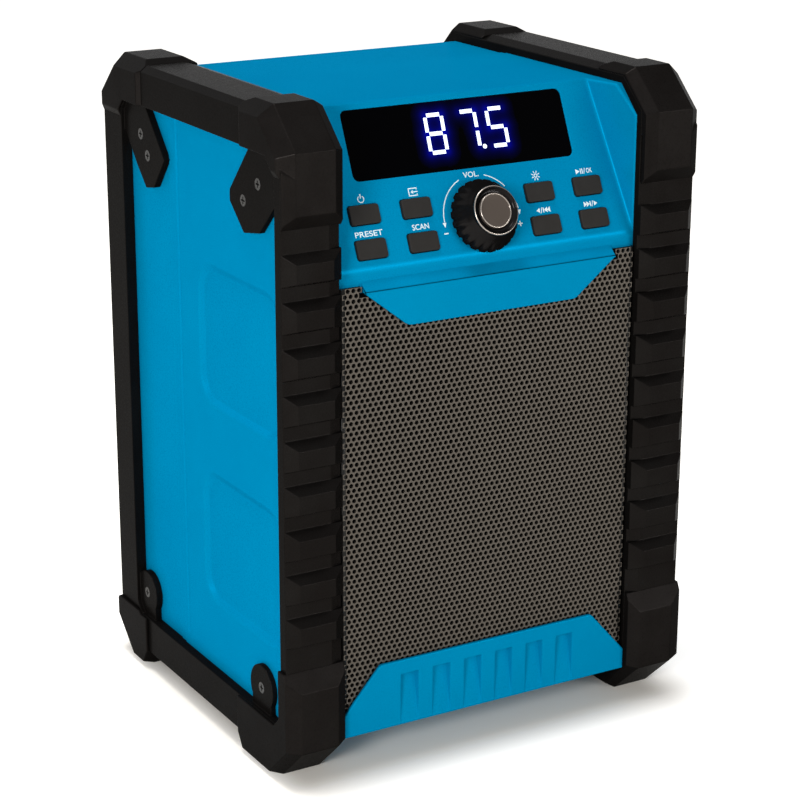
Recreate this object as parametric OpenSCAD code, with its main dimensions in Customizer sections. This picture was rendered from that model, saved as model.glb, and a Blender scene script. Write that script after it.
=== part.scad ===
// Rugged worksite radio: blue two-part housing in a pair of black side cages,
// with a sloped control panel, perforated speaker grille and rear fittings.
// Millimetres, +Z up, front faces -Y, origin on the floor under the middle.

/* [Overall] */
// Width across the corner bumpers
overall_width = 215; // [205:0.5:230]
// Depth across the corner bumpers
overall_depth = 188; // [180:0.5:200]
// Height over the corner bumpers
overall_height = 305.5; // [296:0.5:325]

/* [Cage] */
// Width of a side cage seen from the front
bar_width = 30.3; // [26:0.1:34]
// How far a cage stands outside the blue side wall
cage_side_proud = 6; // [4.5:0.1:8]
// Height of the ribs and of the bumpers over the posts
rib_depth = 4.5; // [3:0.1:6]
// Step from the bumper to the post on the outer side
bumper_side_step = 1.5; // [1:0.1:2.5]
// Step from the bumper down to the top rail
bumper_top_step = 2; // [1:0.1:3]
// Clearance of the bottom rail over the floor
rail_ground_gap = 9.6; // [6:0.1:12]
// Depth of the front post on the outer side
front_post_depth = 10; // [8:0.1:12]
// Depth of the back post on the outer side
back_post_depth = 24; // [21:0.1:30]
// Height of the top rail on the outer side
top_rail_height = 20.4; // [16:0.1:25]
// Height of the bottom rail's upper edge
bottom_rail_top = 27.5; // [24:0.1:32]
// Depth of the big corner chamfer
corner_chamfer_y = 18.7; // [16:0.1:21]
// Height of the big corner chamfer
corner_chamfer_z = 17.5; // [15:0.1:20]
// Chamfer at the corners of the side window
window_chamfer = 5; // [2:0.5:10]
// Width of the outer edge facet of the bumpers
outer_facet = 6.7; // [4:0.1:8]
// Drop of the outer edge facet of the bottom bumpers
outer_facet_drop = 2.7; // [1.5:0.1:3.2]
// Drop of the outer edge facet of the top bumpers
top_facet_drop = 5.4; // [4:0.1:6]
// Least thickness of the bumpers over the cage's edges
bumper_skin = 0.3; // [0.2:0.05:0.5]
// Width of the inner edge facet of the bumpers
inner_facet = 5; // [3:0.1:7]
// Drop of the inner edge facet of the bumpers
inner_facet_drop = 3; // [1.5:0.1:3.5]
// Width of the inner edge facet of the posts and rails
post_facet = 6; // [3:0.1:8]
// Drop of the inner edge facet of the posts and rails
post_facet_drop = 2; // [1:0.1:3]

/* [Ribs] */
// Distance from one rib to the next
rib_pitch = 20.4; // [18:0.1:24]
// Height of a rib's flat face
rib_face = 8.4; // [6:0.1:10]
// Height of the slope over a rib
rib_top_slope = 3.9; // [2:0.1:5]
// Height of the slope under a rib
rib_bottom_slope = 1.7; // [1:0.1:3]
// Gap from the bumper to the first rib's face
rib_first_gap = 13.9; // [10:0.1:16]
// Width of a rib's outer facet
rib_outer_facet = 5.2; // [3:0.1:7]
// Width of a rib's inner facet
rib_inner_facet = 6; // [3:0.1:8]

/* [Bumpers] */
// Height of the front top bumper
front_top_bumper_height = 50.5; // [44:0.1:56]
// Length of the front top bumper along the rail
front_top_bumper_length = 41; // [34:0.1:48]
// Height of the wide upper part of the front top bumper
top_wing_height = 28.5; // [25:0.1:32]
// Height of the slope under the front top bumper
front_top_bumper_slope = 6.6; // [4:0.1:9]
// Height of the front bottom bumper
front_low_bumper_height = 56; // [50:0.1:62]
// Length of the front bottom bumper along the rail
front_low_bumper_length = 51; // [44:0.1:58]
// Height of the slope over the front bottom bumper
front_low_bumper_slope = 9.5; // [6:0.1:12]
// Height of the back bumpers
back_bumper_height = 28.8; // [25:0.1:34]
// Length of the back top bumper along the rail
back_top_bumper_length = 47.9; // [40:0.1:52]
// Length of the back bottom bumper along the rail
back_low_bumper_length = 36; // [30:0.1:42]
// Height of the slope at the end of the back bumpers
back_bumper_slope = 3; // [2:0.1:6]
// Run of the slope at a bumper's rail end
bumper_end_run = 4.9; // [2:0.1:7]
// Run of the slope at the rail end of a foot
foot_end_run = 6; // [3:0.1:9]

/* [Gusset tabs] */
// Thickness of the screwed tabs
tab_thickness = 2.6; // [2:0.1:3.5]
// Radius of the tab screws' heads
tab_screw_head_r = 2.6; // [2:0.05:3.2]
// Height of the tab screws' heads
tab_screw_head_h = 1.2; // [0.8:0.1:1.6]
// Radius of the tab screws' shanks
tab_screw_r = 1.5; // [1:0.05:2]
// Length of the tab screws' shanks
tab_screw_length = 9; // [6:0.5:14]
// Radius of the wall posts behind the tab screws
tab_post_r = 3.4; // [3:0.1:4.5]

/* [Housing] */
// Setback of the housing's front behind the bumpers
shell_front_setback = 10; // [8:0.1:12]
// Setback of the housing's back behind the bumpers
shell_back_setback = 14; // [12:0.1:16]
// Drop of the housing's top under the bumpers
shell_top_drop = 7.5; // [6.5:0.1:9]
// Height of the housing's bottom over the floor
shell_ground_gap = 17; // [15:0.1:20]
// Corner chamfer of the housing under the cage
shell_chamfer = 12.6; // [10:0.1:14]
// Corner chamfer of the housing at the back
rear_chamfer = 8; // [6:0.1:8.5]
// Wall thickness
wall = 3; // [2.4:0.1:3.6]
// Depth of the thick front wall that holds the speaker
front_wall = 9; // [8:0.1:11]
// Place of the parting line along the depth
parting_y = 23.7; // [15:0.1:32]
// Inward step of the rear shell at the parting line
rear_step = 0.8; // [0.4:0.1:1.2]
// Length of the band beside the parting line
band_length = 5; // [3:0.1:8]
// Step of the band over the rear shell
band_step = 0.4; // [0.2:0.05:0.5]
// Depth of the two side panels' recesses
side_recess_depth = 1.2; // [0.6:0.1:1.6]
// Corner radius of the side recesses
side_recess_r = 15; // [8:0.5:20]
// Top of the upper side recess under the housing's top
side_recess_top = 74.3; // [66:0.1:82]
// Height of the upper side recess
side_recess_upper_height = 66.6; // [58:0.1:70]
// Gap between the side recesses
side_recess_gap = 32.1; // [24:0.1:40]
// Height of the lower side recess
side_recess_lower_height = 65.2; // [58:0.1:70]
// Length of the side recesses
side_recess_length = 80; // [70:0.5:82]
// Gap from the side recesses to the parting line
side_recess_inset = 23.2; // [18:0.1:28]

/* [Control panel] */
// Setback of the panel's top bend behind the bumpers
panel_top_setback = 40; // [36:0.1:44]
// Height of the sloped panel
panel_drop = 65.6; // [62:0.1:68]
// Inset of the panel's top corners from the cages
panel_top_inset = 7.2; // [5:0.1:9]
// Inset of the panel's bottom corners from the cages
panel_bottom_inset = 0.2; // [0:0.1:1.5]
// Inset of the display's ends from the panel's top corners
display_inset = 13.2; // [12:0.1:18]
// Height of the display opening
display_height = 31.5; // [28:0.1:33]
// Middle of the display along the width
display_x = -2.4; // [-4:0.1:4]
// Middle of the display up the slope
display_t = 53.4; // [52:0.1:53.6]
// Corner radius of the display opening
display_r = 3; // [1:0.1:5]
// Width of the flange beside the display opening
display_flange = 2; // [1.5:0.1:3]
// Depth of the display face behind the panel face
display_sink = 0.6; // [0.3:0.1:1]
// Width of a push button
button_width = 14.6; // [13:0.1:15.5]
// Height of a push button
button_height = 8.4; // [7:0.1:9]
// Corner radius of a push button
button_r = 1.2; // [0.6:0.1:2]
// How far a push button stands out
button_proud = 1.2; // [0.9:0.1:1.8]
// Travel of a push button
button_travel = 0.8; // [0.5:0.05:0.9]
// Gap around a push button
button_gap = 0.3; // [0.25:0.05:0.4]
// Collar that holds a push button in the panel
button_collar = 1.2; // [0.8:0.1:1.6]
// Distance between the two button columns of a side
button_pitch = 25.9; // [20:0.1:28]
// Inset of the outer button column from the panel's top corners
button_inset = 12.2; // [10:0.1:14]
// Lower button row up the slope
button_low_t = 8.1; // [7.5:0.1:9]
// Upper button row up the slope
button_high_t = 23.2; // [22.5:0.1:25]

/* [Volume knob] */
// Radius of the knob's fluted skirt
knob_r = 16.5; // [14:0.1:18]
// Height of the knob
knob_height = 12.8; // [10:0.1:16]
// Radius of the knob's crown
knob_crown_r = 11.1; // [9:0.1:13]
// Place of the knob up the slope
knob_t = 15.65; // [15:0.05:17]
// Gap between the knob and the panel
knob_gap = 0.5; // [0.3:0.1:1]
// Number of flutes in the skirt
knob_flutes = 22; // [16:1:28]
// Radius of the flutes
knob_flute_r = 1.1; // [0.7:0.1:1.6]
// Radius of the knob's inlaid disc
knob_disc_r = 7.9; // [6:0.1:9]
// Radius of the encoder's shaft
encoder_shaft_r = 3; // [2.5:0.05:3.5]
// Running clearance of a turning shaft
running_clear = 0.05; // [0.02:0.01:0.1]
// Radius of the encoder's bushing
encoder_bush_r = 4.6; // [4.2:0.1:5.2]

/* [Grille and trim] */
// Depth of the trim in front of the housing
trim_proud = 4.5; // [3.5:0.1:5.5]
// Thickness of the apron and of the trim's lip
trim_lip = 1.6; // [1.2:0.1:2]
// Thickness of the grille sheet
grille_sheet = 1; // [0.7:0.1:1.2]
// Gap around the grille
grille_gap = 0.3; // [0.2:0.05:0.6]
// Drop of the grille's top under the panel's bottom bend
grille_top_drop = 6.7; // [6:0.1:8]
// Drop of the apron's top line under the panel's bottom bend
apron_top_drop = 5.1; // [4.5:0.1:6]
// Height of the apron's bevelled top edge
apron_bevel = 4.1; // [3:0.1:4.6]
// Height of the apron under the grille's top
apron_height = 19.8; // [14:0.1:24]
// Drop of the grille's middle behind the apron
grille_notch = 3.4; // [3.2:0.1:4]
// Inset of the apron's top corners from the cages
apron_inset = 12.2; // [8:0.1:18]
// Run of the apron's sloped ends
apron_run = 21.4; // [14:0.1:28]
// Height of the lower trim
trim_height = 32; // [28:0.5:40]
// Height of the lower trim at its ends
trim_end_height = 10; // [6:0.5:16]
// Inset of the lower trim's top corners from the cages
trim_inset = 19.7; // [15:0.1:25]
// Number of vent slots in the lower trim
vent_count = 6; // [4:1:7]
// Distance from one vent slot to the next
vent_pitch = 16.9; // [15:0.1:18]
// Width of a vent slot
vent_width = 9.4; // [7:0.1:11]
// Height of a vent slot
vent_height = 25; // [18:0.5:27]
// Depth of a vent slot at its top
vent_depth = 3.4; // [2:0.1:3.6]

/* [Speaker] */
// Height of the speaker's middle
woofer_z = 122; // [112:0.5:130]
// Gap around the speaker's flange
woofer_margin = 7; // [4:0.5:12]
// Lap of the speaker's flange on the wall
woofer_lap = 7.5; // [7:0.1:10]
// Thickness of the speaker's flange
woofer_flange_h = 2; // [1.6:0.1:2.4]
// Depth of the speaker's basket
woofer_basket_depth = 32; // [28:0.5:40]
// Radius of the magnet
woofer_magnet_r = 40; // [34:0.5:46]
// Thickness of the magnet
woofer_magnet_h = 16; // [12:0.5:22]

/* [Battery] */
// Diameter of a battery cell
cell_d = 26.2; // [25:0.1:27]
// Length of a battery cell
cell_length = 50; // [46:0.1:51]
// Rows of cells
cell_rows = 3; // [2:1:3]
// Wall of the battery box
box_wall = 2; // [1.6:0.1:2.5]
// Thickness of the battery contacts
contact_plate = 0.4; // [0.3:0.05:0.5]
// Height of the door's hinge line
door_hinge_z = 38; // [34:0.5:44]
// Thickness of the door
door_thickness = 2.7; // [2.2:0.1:3]
// Gap around the door
door_gap = 0.4; // [0.3:0.05:0.6]
// Radius of the small hinge pins
hinge_pin_r = 1.5; // [1.2:0.05:1.8]
// Radius of the small hinge barrels
hinge_barrel_r = 2.2; // [2:0.05:2.6]
// Radius of the quarter-turn lock
lock_r = 8; // [6:0.1:9]
// Reach of the lock's tongue
lock_reach = 14; // [12:0.5:16]

/* [Rear fittings] */
// Radius of the shell screws' shanks
shell_screw_r = 2; // [1.5:0.1:2.5]
// Radius of the shell screws' heads
shell_screw_head_r = 3.6; // [3:0.1:4.5]
// Inset of the shell screws from the cages
shell_screw_inset = 7.2; // [6.5:0.1:10]
// Height of the upper shell screws under the housing's top
shell_screw_drop = 30; // [26:0.5:34]
// Height of the lower shell screws over the housing's bottom
shell_screw_rise = 16; // [14:0.5:17]
// Height of the row of sockets
socket_z = 143; // [140:0.5:150]
// Distance of the power inlet from the flap's left end
dc_offset = 8; // [6:0.5:9]
// Distance of the audio socket from the flap's hinge ear
aux_offset = 10; // [9.5:0.5:14]
// Distance of the USB socket from the flap's left end
usb_offset = 26; // [25:0.5:28]
// Gap around each socket
socket_gap = 0.2; // [0.1:0.05:0.4]
// Thickness of the socket flap
flap_thickness = 2; // [1.5:0.1:2.6]
// Height of the socket flap
flap_height = 27; // [24:0.5:32]
// Length of the socket flap
flap_length = 37; // [36:0.5:44]
// Inset of the socket flap from the right cage
flap_inset = 7.2; // [6:0.1:12]

/* [Aerial] */
// Inset of the aerial's turning axis from the left cage
aerial_inset = 21.2; // [18:0.1:26]
// Height of the aerial's turning axis over the row of sockets
aerial_rise = 27; // [26:0.5:40]
// Radius of the aerial's outer tube
aerial_r = 3; // [2.6:0.05:3.4]
// Wall of the aerial's tubes
aerial_wall = 0.52; // [0.45:0.01:0.55]
// Sliding clearance between the tubes
aerial_clear = 0.08; // [0.04:0.01:0.1]
// Drop of the folded aerial's tip under the housing's top
aerial_tip_drop = 10; // [9.5:0.5:30]

/* [Hidden] */
$fn = 64;
eps = 0.01;
hx = overall_width / 2;
hy = overall_depth / 2;
H = overall_height;
ix = hx - bar_width;              // inner plane of a cage
px = hx - bumper_side_step;       // outer plane of posts and rails
facet_x = hx - outer_facet;       // inner edge of the outer facets
facet_part = (px - facet_x) / outer_facet;
// the top bumpers' facets stay outside the posts' edges, and the rails' facets lie under them
top_drop = min(top_facet_drop, (rib_depth - bumper_skin) / facet_part);
rail_edge_drop = top_drop * facet_part + bumper_skin;
rail_facet_x = facet_x + (bumper_top_step - bumper_skin) * outer_facet / top_drop;
sx = hx - cage_side_proud;        // outer plane of the blue side wall
rx = sx - rear_step;              // the same on the rear shell
yF = -hy + shell_front_setback;
yR = hy - shell_back_setback;
zT = H - shell_top_drop;
zB = shell_ground_gap;
core_y = hy - rib_depth;
core_top = H - bumper_top_step;
win_y0 = -hy + front_post_depth;
win_y1 = hy - back_post_depth;
win_z0 = bottom_rail_top;
win_z1 = H - top_rail_height;
zBend = zT - panel_drop;
yTop = -hy + panel_top_setback;
panel_half_top = ix - panel_top_inset;
panel_half_bottom = ix - panel_bottom_inset;
display_width = 2 * (panel_half_top - display_inset);
button_outer_x = panel_half_top - button_inset;
button_inner_x = button_outer_x - button_pitch;
apron_half_top = ix - apron_inset;
apron_half_bottom = apron_half_top - apron_run;
trim_half_top = ix - trim_inset;
shell_screw_x = ix - shell_screw_inset;
flap_x1 = ix - flap_inset;
flap_x0 = flap_x1 - flap_length;
dc_x = flap_x0 + dc_offset;
aux_x = flap_x0 - aux_offset;
usb_x = flap_x0 + usb_offset;
aerial_x = ix - aerial_inset;
panel_angle = atan2(panel_drop, yTop - yF);
slope_run = (yTop - yF) / panel_drop;
panel_in = wall / sin(panel_angle);
brow_bottom = zBend - grille_top_drop + grille_gap;
grille_top = zBend - grille_top_drop;
apron_bottom = grille_top - apron_height;
apron_top = zBend - apron_top_drop;
apron_edge = apron_top - apron_bevel;
notch_z = grille_top - grille_notch;
trim_y = yF - trim_proud;
lip_back = trim_y + trim_lip;
grille_front = lip_back + 0.1;
grille_back = grille_front + grille_sheet;
baffle_front = yF + 5;
baffle_back = yF + front_wall;
recess_x = ix - 5.2;
woofer_flange_r = recess_x - woofer_margin;
woofer_hole_r = woofer_flange_r - woofer_lap;
woofer_screw_r = woofer_flange_r - 2.4;
recess_z0 = zB + 7;
recess_z1 = grille_top - 3.7;
board_h = 9.4;
board_t = 1.6;
switch_h = 1.9;
switch_w = 6;
board_low_t = 2.2;
board_l = 28;
encoder_w = 13;
collar_h = 1;
window_flange_h = 1.5;
module_h = 8;
module_side = 6.8;
module_end = 2.75;
disc_seat = 3.2;
mat_h = 1;
collar_gap = 0.3;
mat_gap = 0.3;
press_room = 0.4;
mat_x = (button_inner_x + button_outer_x) / 2;
mat_w = button_pitch + button_width + 0.5;
mat_l = button_high_t - button_low_t + button_height + 2.5;
mat_rim = 1.2;
button_depth = board_h - switch_h - mat_gap - mat_h - button_travel - press_room;
back_in = yR - wall;
box_z0 = door_hinge_z + 4.5;
box_h = cell_rows * (cell_d + 0.3) + 0.5;
box_z1 = box_z0 + box_h;
box_x = cell_length + 1;
box_depth = cell_d + 2.8;
door_top = box_z1 + 2;
door_x = box_x + 3;
lock_z = box_z1 - 8;
hinge_y = yR - 0.4;
board_stand = 7.8;
board_y = back_in - board_stand - board_t;
board_beyond_dc = 60;
board_beyond_usb = 18;
sink_inset = 7;
sink_drop = 8;
sink_h = 26;
sink_fins = 8;
sink_base = 4;
fin_pitch = 6.3;
fin_t = 2;
fin_l = 14;
cap_r = 5.2;
cap_l = 20;
cap_inset = 8;
cap_drop = 18;
dc_half_w = 4.5;
dc_half_h = 5.5;
dc_bore_r = 3.1;
dc_pin_r = 0.95;
aux_r = 4;
aux_bore_r = 1.8;
usb_half_w = 7.2;
usb_half_h = 3.6;
socket_sunk = 0.8;
flap_rest = 0.3;
ear_gap = 0.3;
ear_t = 4.5;
flap_ear_t = 4.2;
board_drop = 16;
board_tall = 86;
board_z0 = socket_z - board_drop;
board_z1 = board_z0 + board_tall;
flap_hinge_z = socket_z + 15;
flap_hinge_y = yR + 2.6;
aerial_z = socket_z + aerial_rise;
aerial_y = yR + 7;
pin_reach = 10;
tube_start = pin_reach + 6;
tip_length = 8;
aerial_length = zT - aerial_tip_drop - tip_length - tube_start - aerial_z;
tube_end = tube_start + aerial_length;
clip_x = tube_end - 18;
clip_length = 10;
clip_wall = 3;
clip_gap = 0.3;
r1 = aerial_r;
r2 = r1 - aerial_wall - aerial_clear;
r3 = r2 - aerial_wall - aerial_clear;
r4 = r3 - aerial_wall - aerial_clear;
pivot_r = 3.2;
fork_r = 3.6;
fork_t = 2.2;
aerial_pin_r = 1.2;
tab_x1 = sx + tab_thickness;
boss_r = 5;
board_boss_r = 3;
screw_grip = 20;
screw_clear = 0.3;
screw_sunk = 4;
screw_head_h = 2.8;
woofer_shank_r = 1.4;
woofer_shank_l = 3;
basket_foot_r = 34;
basket_bore_r = 14;
basket_slot = 16;
voice_coil_r = 9;
surround_w = 8;
cone_depth = 16;
cone_neck_r = voice_coil_r + 2.5;
dust_cap_r = 16;
cell_pole_r = 3;
contact_half = 6;

shell_blue = [0.0, 0.46, 0.66];
cage_black = [0.09, 0.09, 0.09];
rubber_black = [0.06, 0.06, 0.06];
steel = [0.7, 0.7, 0.72];
board_green = [0.05, 0.3, 0.12];

// ---------------------------------------------------------------- helpers
// Outline in Y and Z, drawn out along X
module yz_prism(points, x0, x1) {
  translate([x0, 0, 0]) rotate([90, 0, 90]) linear_extrude(height = x1 - x0) polygon(points);
}
// Outline in X and Z, drawn out along Y
module xz_prism(points, y0, y1) {
  translate([0, y1, 0]) rotate([90, 0, 0]) linear_extrude(height = y1 - y0) polygon(points);
}
// Outline in X and Y, drawn out along Z
module xy_prism(points, z0, z1) {
  translate([0, 0, z0]) linear_extrude(height = z1 - z0) polygon(points);
}
module box3(x0, x1, y0, y1, z0, z1) {
  translate([x0, y0, z0]) cube([x1 - x0, y1 - y0, z1 - z0]);
}
module rod_x(r, x0, x1) { translate([x0, 0, 0]) rotate([0, 90, 0]) cylinder(r = r, h = x1 - x0); }
module rod_y(r, y0, y1) { translate([0, y1, 0]) rotate([90, 0, 0]) cylinder(r = r, h = y1 - y0); }
// Plate with round corners, centred, standing on z = 0
module rounded_plate(w, l, r, h) {
  translate([-w / 2 + r, -l / 2, 0]) cube([w - 2 * r, l, h]);
  translate([-w / 2, -l / 2 + r, 0]) cube([w, l - 2 * r, h]);
  for (x = [-1, 1], y = [-1, 1]) translate([x * (w / 2 - r), y * (l / 2 - r), 0]) cylinder(r = r, h = h);
}
// Local frame of the sloped panel: x along, y up the slope, z out of it
module on_panel() { translate([0, yF, zBend]) rotate([panel_angle, 0, 0]) children(); }
function chamfer_box(y0, y1, z0, z1, cy, cz) = [
  [y0 + cy, z0], [y1 - cy, z0], [y1, z0 + cz], [y1, z1 - cz],
  [y1 - cy, z1], [y0 + cy, z1], [y0, z1 - cz], [y0, z0 + cz]];
module socket_block(w, h, y0, y1) { box3(-w, w, y0, y1, -h, h); }
module both_sides() { children(); mirror([1, 0, 0]) children(); }

// ---------------------------------------------------------------- housing
module front_volume() {
  yz_prism([[yF, zB + shell_chamfer], [yF + shell_chamfer, zB], [parting_y, zB], [parting_y, zT],
    [yF + shell_chamfer, zT], [yF, zT - shell_chamfer]], -sx, sx);
}
module rear_volume() {
  yz_prism([[parting_y, zB + rear_step], [yR - rear_chamfer, zB + rear_step],
    [yR, zB + rear_step + rear_chamfer],
    [yR, zT - rear_step - rear_chamfer], [yR - rear_chamfer, zT - rear_step], [parting_y, zT - rear_step]],
      -rx, rx);
}
module band_volume() {
  drop = rear_step - band_step;
  box3(-rx - band_step, rx + band_step, parting_y, parting_y + band_length, zB + drop, zT - drop);
}
module shell_volume() {
  front_volume();
  rear_volume();
  band_volume();
}
// Room cut away in front of the sloped panel, between its two cheeks
module panel_room() {
  over = 5;
  fall = 2;
  k = (panel_half_bottom - panel_half_top) / (yF - yTop);
  yt = yTop + over * slope_run;
  yb = yF - fall;
  zb = zBend - fall / slope_run;
  ylow = yF - shell_front_setback;
  xt = panel_half_top + k * (yt - yTop);
  xb = panel_half_top + k * (yb - yTop);
  xf = panel_half_top + k * (ylow - yTop);
  polyhedron(
    points = [[-xt, yt, zT + over], [xt, yt, zT + over], [xb, yb, zb], [-xb, yb, zb],
      [-xf, ylow, zT + over], [xf, ylow, zT + over], [xf, ylow, zb], [-xf, ylow, zb]],
    faces = [[3, 2, 1, 0], [4, 5, 6, 7], [0, 1, 5, 4], [7, 6, 2, 3], [2, 6, 5, 1], [7, 3, 0, 4]]);
}
module front_cavity() {
  yz_prism([[baffle_back, zB + shell_chamfer - front_wall + wall * sqrt(2)],
    [yF + shell_chamfer - wall + wall * sqrt(2), zB + wall], [parting_y + 1, zB + wall],
      [parting_y + 1, zT - wall],
    [yF + (zT - wall - zBend) * slope_run + panel_in, zT - wall],
    [yF + wall, zBend + (wall - panel_in) / slope_run], [yF + wall, brow_bottom],
    [baffle_back, brow_bottom]], -sx + wall, sx - wall);
}
module rear_cavity() {
  inner = rear_chamfer - wall * (2 - sqrt(2));
  low = zB + rear_step + wall;
  top = zT - rear_step - wall;
  yz_prism([[parting_y - 1, low], [back_in - inner, low], [back_in, low + inner], [back_in, top - inner],
    [back_in - inner, top], [parting_y - 1, top]], -rx + wall, rx - wall);
}
module side_recesses() {
  y1 = parting_y - side_recess_inset;
  top = zT - side_recess_top;
  low = top - side_recess_upper_height - side_recess_gap;
  both_sides() translate([sx - side_recess_depth, 0, 0]) rotate([90, 0, 90]) {
    translate([y1 - side_recess_length / 2, top - side_recess_upper_height / 2, 0])
      rounded_plate(side_recess_length, side_recess_upper_height, side_recess_r, side_recess_depth + 1);
    translate([y1 - side_recess_length / 2, low - side_recess_lower_height / 2, 0])
      rounded_plate(side_recess_length, side_recess_lower_height, side_recess_r, side_recess_depth + 1);
  }
}
button_places = [[-button_outer_x, button_high_t], [-button_inner_x, button_high_t],
  [-button_outer_x, button_low_t], [-button_inner_x, button_low_t],
  [button_inner_x, button_high_t], [button_outer_x, button_high_t],
  [button_inner_x, button_low_t], [button_outer_x, button_low_t]];
board_half = panel_half_top + 1.5;
post_r = 2.2;
post_x = board_half - post_r;
post_in = 2.5;                    // from the board's edge to a post
board_posts = [for (x = [-post_x, post_x],
  t = [board_low_t + post_in, board_low_t + board_l - post_in]) [x, t]];
module panel_holes() {
  on_panel() {
    translate([display_x, display_t, -wall - 2])
      rounded_plate(display_width, display_height, display_r, wall + 3);
    for (p = button_places) translate([p[0], p[1], -wall - 2])
      rounded_plate(button_width + 2 * button_gap, button_height + 2 * button_gap, button_r + button_gap,
        wall + 3);
    translate([0, knob_t, -wall - 2]) cylinder(r = encoder_bush_r, h = wall + 3);
  }
}
front_tab_points = [[win_y0 + 23, win_z1 + 3], [win_y0 + 45, win_z1 - 22], [win_y0 + 45, win_z1 - 27],
  [win_y0 + 32, win_z1 - 38.6], [win_y0 + 17.2, win_z1 - 35.8], [win_y0 - 2, win_z1 - 16.8],
    [win_y0 - 2, win_z1 + 1]];
back_tab_points = [[win_y1 - 20.4, win_z1 + 3], [win_y1 - 42.6, win_z1 - 22],
  [win_y1 - 30.4, win_z1 - 36.8], [win_y1 - 22, win_z1 - 38.4], [win_y1 - 12.4, win_z1 - 29],
    [win_y1 + 2, win_z1 - 12], [win_y1 + 2, win_z1 + 3]];
front_tab_screws = [[win_y0 + 18.2, win_z1 - 14.8], [win_y0 + 32.2, win_z1 - 24.5]];
back_tab_screws = [[win_y1 - 17.4, win_z1 - 14], [win_y1 - 24.4, win_z1 - 23]];
front_foot_screw = [win_y0 + 22.6, win_z0 + 10.4];
back_foot_screw = [win_y1 - 7.8, win_z0 + 12];
foot_tab_r = 10.9;
foot_tab_half = 9;                // half width of a foot tab where it meets the rail
tab_screw_places = concat(front_tab_screws, back_tab_screws, [front_foot_screw, back_foot_screw]);
module tab_posts() {
  for (p = tab_screw_places) both_sides() translate([0, p[0], p[1]])
    rod_x(tab_post_r, (p[0] < parting_y ? sx : rx) - wall - tab_screw_length + 1,
      (p[0] < parting_y ? sx : rx) - wall + eps);
}
module tab_screw_holes() {
  for (p = tab_screw_places) both_sides() translate([0, p[0], p[1]])
    rod_x(tab_screw_r, tab_x1 - tab_screw_head_h - tab_screw_length, sx + 1);
}
screw_places = [[-shell_screw_x, zT - shell_screw_drop], [shell_screw_x, zT - shell_screw_drop],
  [-shell_screw_x, zB + shell_screw_rise], [shell_screw_x, zB + shell_screw_rise]];
screw_tip_y = parting_y - screw_grip;

module front_shell() color(shell_blue) difference() {
  union() {
    difference() {
      union() {
        front_volume();
        yz_prism([[yF, zB], [parting_y - 1, zB], [parting_y - 1, zB + shell_chamfer + 2],
          [yF, zB + shell_chamfer + 2]], -ix, ix);
      }
      panel_room();
      front_cavity();
      side_recesses();
      box3(-recess_x, recess_x, yF - 1, baffle_front, recess_z0, recess_z1);
      translate([0, 0, woofer_z]) rod_y(woofer_hole_r, yF - 1, baffle_back + 1);
    }
    // apron over the grille
    yz_prism([[yF, apron_top], [trim_y, apron_edge], [trim_y, notch_z + grille_gap],
      [yF, notch_z + grille_gap]],
      -apron_half_top, apron_half_top);
    xz_prism([[-apron_half_bottom, apron_bottom], [apron_half_bottom, apron_bottom],
      [apron_half_top, notch_z + grille_gap],
      [apron_half_top, apron_edge], [-apron_half_top, apron_edge],
        [-apron_half_top, notch_z + grille_gap]], trim_y, lip_back);
    // board posts behind the panel
    on_panel() for (p = board_posts) translate([p[0], p[1], -board_h])
      cylinder(r = post_r, h = board_h - wall + eps);
    for (p = screw_places) translate([p[0], 0, p[1]])
      rod_y(boss_r, p[1] > zBend ? yF + (p[1] - zBend) * slope_run + panel_in - 0.2 : baffle_back - eps,
        parting_y);
    intersection() {
      tab_posts();
      box3(-sx, sx, yF, parting_y, 0, H);
    }
  }
  panel_holes();
  for (p = screw_places) translate([p[0], 0, p[1]]) rod_y(shell_screw_r, screw_tip_y, parting_y + 1);
  for (a = [45 : 90 : 315]) translate([woofer_screw_r * cos(a), 0, woofer_z + woofer_screw_r * sin(a)])
    rod_y(woofer_shank_r, baffle_front - 1, baffle_front + woofer_shank_l);
  tab_screw_holes();
}

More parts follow.
